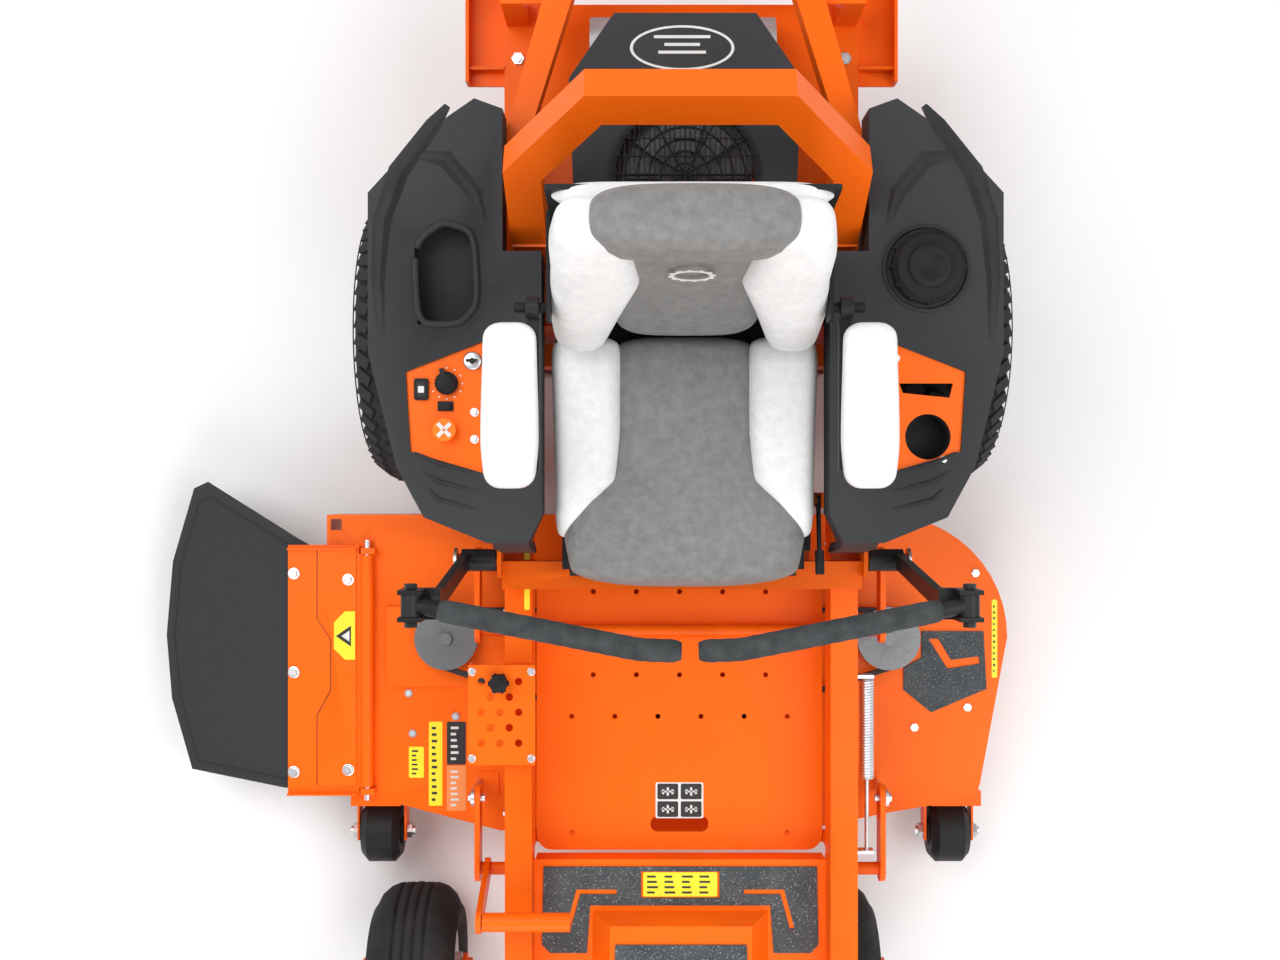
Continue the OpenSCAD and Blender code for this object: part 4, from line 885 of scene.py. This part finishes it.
def stop_knob():
    low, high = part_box("height_pin")
    hub = (low + high) / 2
    bm = bmesh.new()
    add_turned(bm, [(0.006, high.z - 0.026), (0.013, high.z - 0.024), (0.0165, high.z - 0.014),
            (0.0165, high.z - 0.006),
                    (0.012, high.z + 0.001), (0.004, high.z + 0.003)], Vector((hub.x, hub.y, 0)), Z, 32)
    for k in range(6):
        a = 2 * math.pi * k / 6
        m = Matrix.Translation((hub.x + 0.0165 * math.cos(a), hub.y + 0.0165 * math.sin(a),
                0)) @ Matrix.Rotation(a, 4, "Z")
        add_box(bm, (-0.002, -0.004, high.z - 0.018), (0.002, 0.004, high.z - 0.004), m)
    piece("stop_knob_cap", bm, BLACK, "stop_pin")


def flap_border():
    """The moulded border that stands proud on the flap's upper side."""
    low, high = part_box("chute_flap")
    tip = low.x
    def z_at(x):
        if x > -762:
            return 210
        return 210 - (210 - 126) * ((-762 - x) / (1047 - 762))
    line = [(-700, -432), (-740, -424), (-948, -308), (-974, -318), (-1016, -448), (-1030, -592), (-1018, -712),
            (-976, -846), (-790, -870), (-700, -872)]
    path = []
    for (x0, y0), (x1, y1) in zip(line, line[1:]):
        for i in range(8):
            f = i / 8
            x, y = x0 + (x1 - x0) * f, y0 + (y1 - y0) * f
            path.append(at(x, y, z_at(x) + 0.2))
    bm = bmesh.new()
    add_tube(bm, path, 0.0022, 6)
    piece("flap_border", bm, FLAP, "chute")


def emblem():
    """A plain toothed ring on the back pad, with no lettering."""
    bm = bmesh.new()
    spot = on_back(0, BACK_TALL * 0.655, 0.0055)
    steps = 144
    rings = [[], []]
    for i in range(steps):
        a = 2 * math.pi * i / steps
        tooth = 1.0 if math.sin(a * 12) > 0.1 else 0.9
        for ring, r in zip(rings, (0.026 * tooth, 0.0195)):
            ring.append(bm.verts.new(spot + X * math.cos(a) * r * 1.35 + BACK_UP * math.sin(a) * r))
    for i in range(steps):
        j = (i + 1) % steps
        bm.faces.new((rings[0][i], rings[0][j], rings[1][j], rings[1][i]))
    obj = piece("seat_emblem", bm, LABEL_WHITE, "seat", smooth=False)
    thick = obj.modifiers.new("thick", "SOLIDIFY")
    thick.thickness = 0.0012


def rim(name, outline, z, body, height=0.006, width=0.006, steps=8):
    """A rounded moulded rim that follows an outline in millimetres."""
    points = [at(x, y, 0).xy.to_3d() + Z * z for x, y in outline]
    path = []
    for a, b in zip(points, points[1:] + points[:1]):
        path += [a.lerp(b, k / 6) for k in range(6)]
    for _ in range(3):
        path = [(path[i - 1] + path[i] * 2 + path[(i + 1) % len(path)]) / 4 for i in range(len(path))]
    bm = bmesh.new()
    add_tube(bm, path, width, steps, True)
    return piece(name, bm, CHARCOAL, body)


def ridge(name, rows, body):
    """Moulded facets: each row is (x, y, half width, height) along the ridge's line."""
    bm = bmesh.new()
    sections = []
    for k, (x, y, half, height) in enumerate(rows):
        here = at(x, y, 0)
        a = at(*rows[max(0, k - 1)][:2], 0)
        b = at(*rows[min(len(rows) - 1, k + 1)][:2], 0)
        across = (b - a).normalized().cross(Z)
        sections.append([bm.verts.new(here + across * half * f + Z * (FENDER_TOP - 0.0005 + height * g))
                         for f, g in ((-1, 0), (-0.35, 1), (0.35, 1), (1, 0))])
    for a, b in zip(sections, sections[1:]):
        for i in range(3):
            bm.faces.new((a[i], b[i], b[i + 1], a[i + 1]))
        bm.faces.new((a[3], b[3], b[0], a[0]))
    bm.faces.new(sections[0][::-1])
    bm.faces.new(sections[-1])
    bmesh.ops.recalc_face_normals(bm, faces=bm.faces)
    return soften(piece(name, bm, CHARCOAL, body, smooth=False), 0.002)


def fender_relief():
    for side in (1, -1):
        tag = BODY_OF_SIDE[side]
        ridge("fender_spine_" + tag, [(side * 508, -40, 0.008, 0.001), (side * 512, 60, 0.012, 0.007),
                (side * 505, 160, 0.016, 0.010),
                                      (side * 478, 240, 0.018, 0.010), (side * 420, 318, 0.014,
                                              0.006), (side * 396, 350, 0.006, 0.001)], "chassis")
        ridge("fender_crease_" + tag, [(side * 335, 150, 0.006, 0.001), (side * 352, 205, 0.014, 0.007),
                (side * 400, 262, 0.016, 0.007),
                                       (side * 452, 268, 0.006, 0.001)], "chassis")
    rim("tray_rim", [(-452, 120), (-405, 158), (-352, 140), (-345, 20), (-375, -14), (-446, -14)], FENDER_TOP,
            "chassis")
    ring = [(400 + 70 * math.cos(a), 79 + 70 * math.sin(a)) for a in (2 * math.pi * k / 36 for k in range(36))]
    rim("filler_rim", ring, FENDER_TOP, "chassis", width=0.004)


def cap_top():
    """Raised centre and grip of the fuel cap."""
    low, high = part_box("fuel_cap")
    hub = (low + high) / 2
    bm = bmesh.new()
    add_turned(bm, [(0.036, high.z - 0.006), (0.036, high.z + 0.001), (0.032, high.z + 0.003),
            (0.021, high.z + 0.003),
                    (0.019, high.z + 0.0015), (0.001, high.z + 0.0015)], Vector((hub.x, hub.y, 0)), Z, 48)
    piece("cap_ring", bm, BLACK, "cap")


def fan_screen():
    """The fine wire grid over the fan, clipped to its round guard."""
    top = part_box("fan_guard")[1].z
    hub = at(0, 240, 0)
    bm = bmesh.new()
    reach = 0.121
    for step, direction in ((0.0085, 0), (0.030, 1)):
        k = -int(reach / step)
        while k * step < reach:
            half = math.sqrt(max(0.0, reach ** 2 - (k * step) ** 2))
            if half > 0.01:
                a, b = (Vector((hub.x + k * step, hub.y - half, top + 0.0012)),
                        Vector((hub.x + k * step, hub.y + half, top + 0.0012)))
                if direction:
                    a, b = (Vector((hub.x - half, hub.y + k * step, top + 0.003)),
                            Vector((hub.x + half, hub.y + k * step, top + 0.003)))
                add_tube(bm, [a, b], 0.0011, 5)
            k += 1
    piece("fan_grid", bm, BLACK_PAINT, "chassis")


def shroud_badge():
    """An oval badge without lettering, with three white printed bars on it, on the engine's cover."""
    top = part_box("engine_shroud")[1].z
    spot = at(-5, 455, 0)
    for name, rx, ry, z, material in (("badge_edge", 0.088, 0.038, 0, LABEL_WHITE),
            ("badge_face", 0.083, 0.034, FILM, LABEL_BLACK)):
        bm = bmesh.new()
        rings = [[bm.verts.new((spot.x + rx * math.cos(2 * math.pi * i / 64),
                spot.y + ry * math.sin(2 * math.pi * i / 64), top + z + h))
                  for i in range(64)] for h in (0, FILM)]
        for i in range(64):
            j = (i + 1) % 64
            bm.faces.new((rings[0][i], rings[0][j], rings[1][j], rings[1][i]))
        bm.faces.new(rings[1])
        piece(name, bm, material, "chassis", smooth=False)
    for k, width in enumerate((0.095, 0.060, 0.080)):
        a = Vector((spot.x - width / 2, spot.y + 0.016 - 0.013 * k, top + 2 * FILM))
        bm = bmesh.new()
        add_box(bm, a, a + Vector((width, 0.005, FILM)))
        piece(f"badge_bar_{k}", bm, LABEL_WHITE, "chassis", smooth=False)


def chute_plate():
    """The folded plate screwed on the chute bracket, with a painted shadow line along its zigzag edge."""
    plate_piece("chute_plate", [(-640, -412), (-717, -412), (-717, -548), (-690, -591), (-690, -691),
            (-717, -741), (-717, -880),
                                (-640, -880)], CHUTE_TOP, 0.0012, ORANGE, "chute", 0.0004)
    # a thin black tube along the plate's zigzag edge is a painted shadow line that parts the plate from the
    # same-coloured bracket
    edge = [(-717, -412), (-717, -548), (-690, -591), (-690, -691), (-717, -741), (-717, -880)]
    bm = bmesh.new()
    add_tube(bm, [at(x, y, 0).xy.to_3d() + Z * (CHUTE_TOP + 0.0003) for x, y in edge], 0.0011, 6)
    piece("chute_plate_painted_shadow_line", bm, BLACK_PAINT, "chute")


def fender_ribs():
    for side in (1, -1):
        tag = BODY_OF_SIDE[side]
        for k in range(3):
            ridge(f"fender_rib_{tag}_{k}", [(side * (452 - 12 * k), -228 - 30 * k, 0.003, 0.001),
                    (side * 410, -246 - 30 * k, 0.005, 0.004),
                                            (side * 345, -262 - 30 * k, 0.003, 0.001)], "chassis")


fan_screen()
shroud_badge()
chute_plate()
fender_ribs()
emblem()
fender_relief()
cap_top()
labels()
lift_spring()
add_bolts()
dashboard()
stop_knob()
flap_border()
for name in ("main_frame", "engine_guard", "footrest", "floor_pan", "side_panels", "deck_shell", "chute_bracket",
             "height_plate", "lift_pedal", "lift_rear", "seat_hoop", "caster_fork_left", "caster_fork_right",
             "lever_left", "lever_right", "seat_pan", "seat_shell", "electrics"):
    soften(NODES[name], 0.0012)
for name in ("fender_left", "fender_right", "engine_shroud"):
    soften(NODES[name], 0.007, 4, 40)
soften(NODES["chute_flap"], 0.002)


# ---------------------------------------------------------------- studio
def studio():
    """A pale floor, soft light from all round and a camera that looks straight down."""
    bm = bmesh.new()
    add_box(bm, (-30, -30, -0.02), (30, 30, 0))
    mesh = bpy.data.meshes.new("floor")
    bm.to_mesh(mesh)
    bm.free()
    ground = bpy.data.objects.new("studio_floor", mesh)
    bpy.context.scene.collection.objects.link(ground)
    s = Shader("studio_paper")
    s.colour(s.ramp(s.noise(0.8), (0.3, (0.93, 0.93, 0.93)), (0.7, (0.96, 0.96, 0.96))))
    s.set(Roughness=0.95, Specular_IOR_Level=0.1)
    mesh.materials.append(s.material)
    world = bpy.data.worlds.new("studio")
    bpy.context.scene.world = world
    world.use_nodes = True
    nodes, links = world.node_tree.nodes, world.node_tree.links
    back = nodes["Background"]
    # dimmer straight above, so that flat tops keep their colour
    where = nodes.new("ShaderNodeTexCoord")
    split = nodes.new("ShaderNodeSeparateXYZ")
    ramp = nodes.new("ShaderNodeValToRGB")
    ramp.color_ramp.elements[0].position = 0.35
    ramp.color_ramp.elements[0].color = (1, 1, 1, 1)
    ramp.color_ramp.elements[1].position = 1.0
    ramp.color_ramp.elements[1].color = (0.35, 0.35, 0.36, 1)
    links.new(where.outputs["Generated"], split.inputs[0])
    links.new(split.outputs["Z"], ramp.inputs[0])
    links.new(ramp.outputs[0], back.inputs["Color"])
    back.inputs["Strength"].default_value = 0.8
    lamps = (((-1.6, 1.2, 3.6), 2.6, 75), ((1.9, -0.4, 3.4), 2.2, 45), ((0.2, -2.8, 2.6), 2.0, 40))
    for k, (spot, size, power) in enumerate(lamps):
        data = bpy.data.lights.new(f"lamp_{k}", "AREA")
        data.size = size
        data.energy = power
        lamp = bpy.data.objects.new(f"lamp_{k}", data)
        lamp.location = spot
        lamp.rotation_euler = (Vector((0, 0, 0.3)) - Vector(spot)).to_track_quat("-Z", "Y").to_euler()
        bpy.context.scene.collection.objects.link(lamp)
    data = bpy.data.cameras.new("camera")
    data.lens = 39.4
    data.sensor_width = 36
    data.clip_end = 60
    camera = bpy.data.objects.new("camera", data)
    camera.location = at(-76, -273, 3000)
    bpy.context.scene.collection.objects.link(camera)
    bpy.context.scene.camera = camera
    bpy.context.scene.view_settings.view_transform = "Standard"


studio()
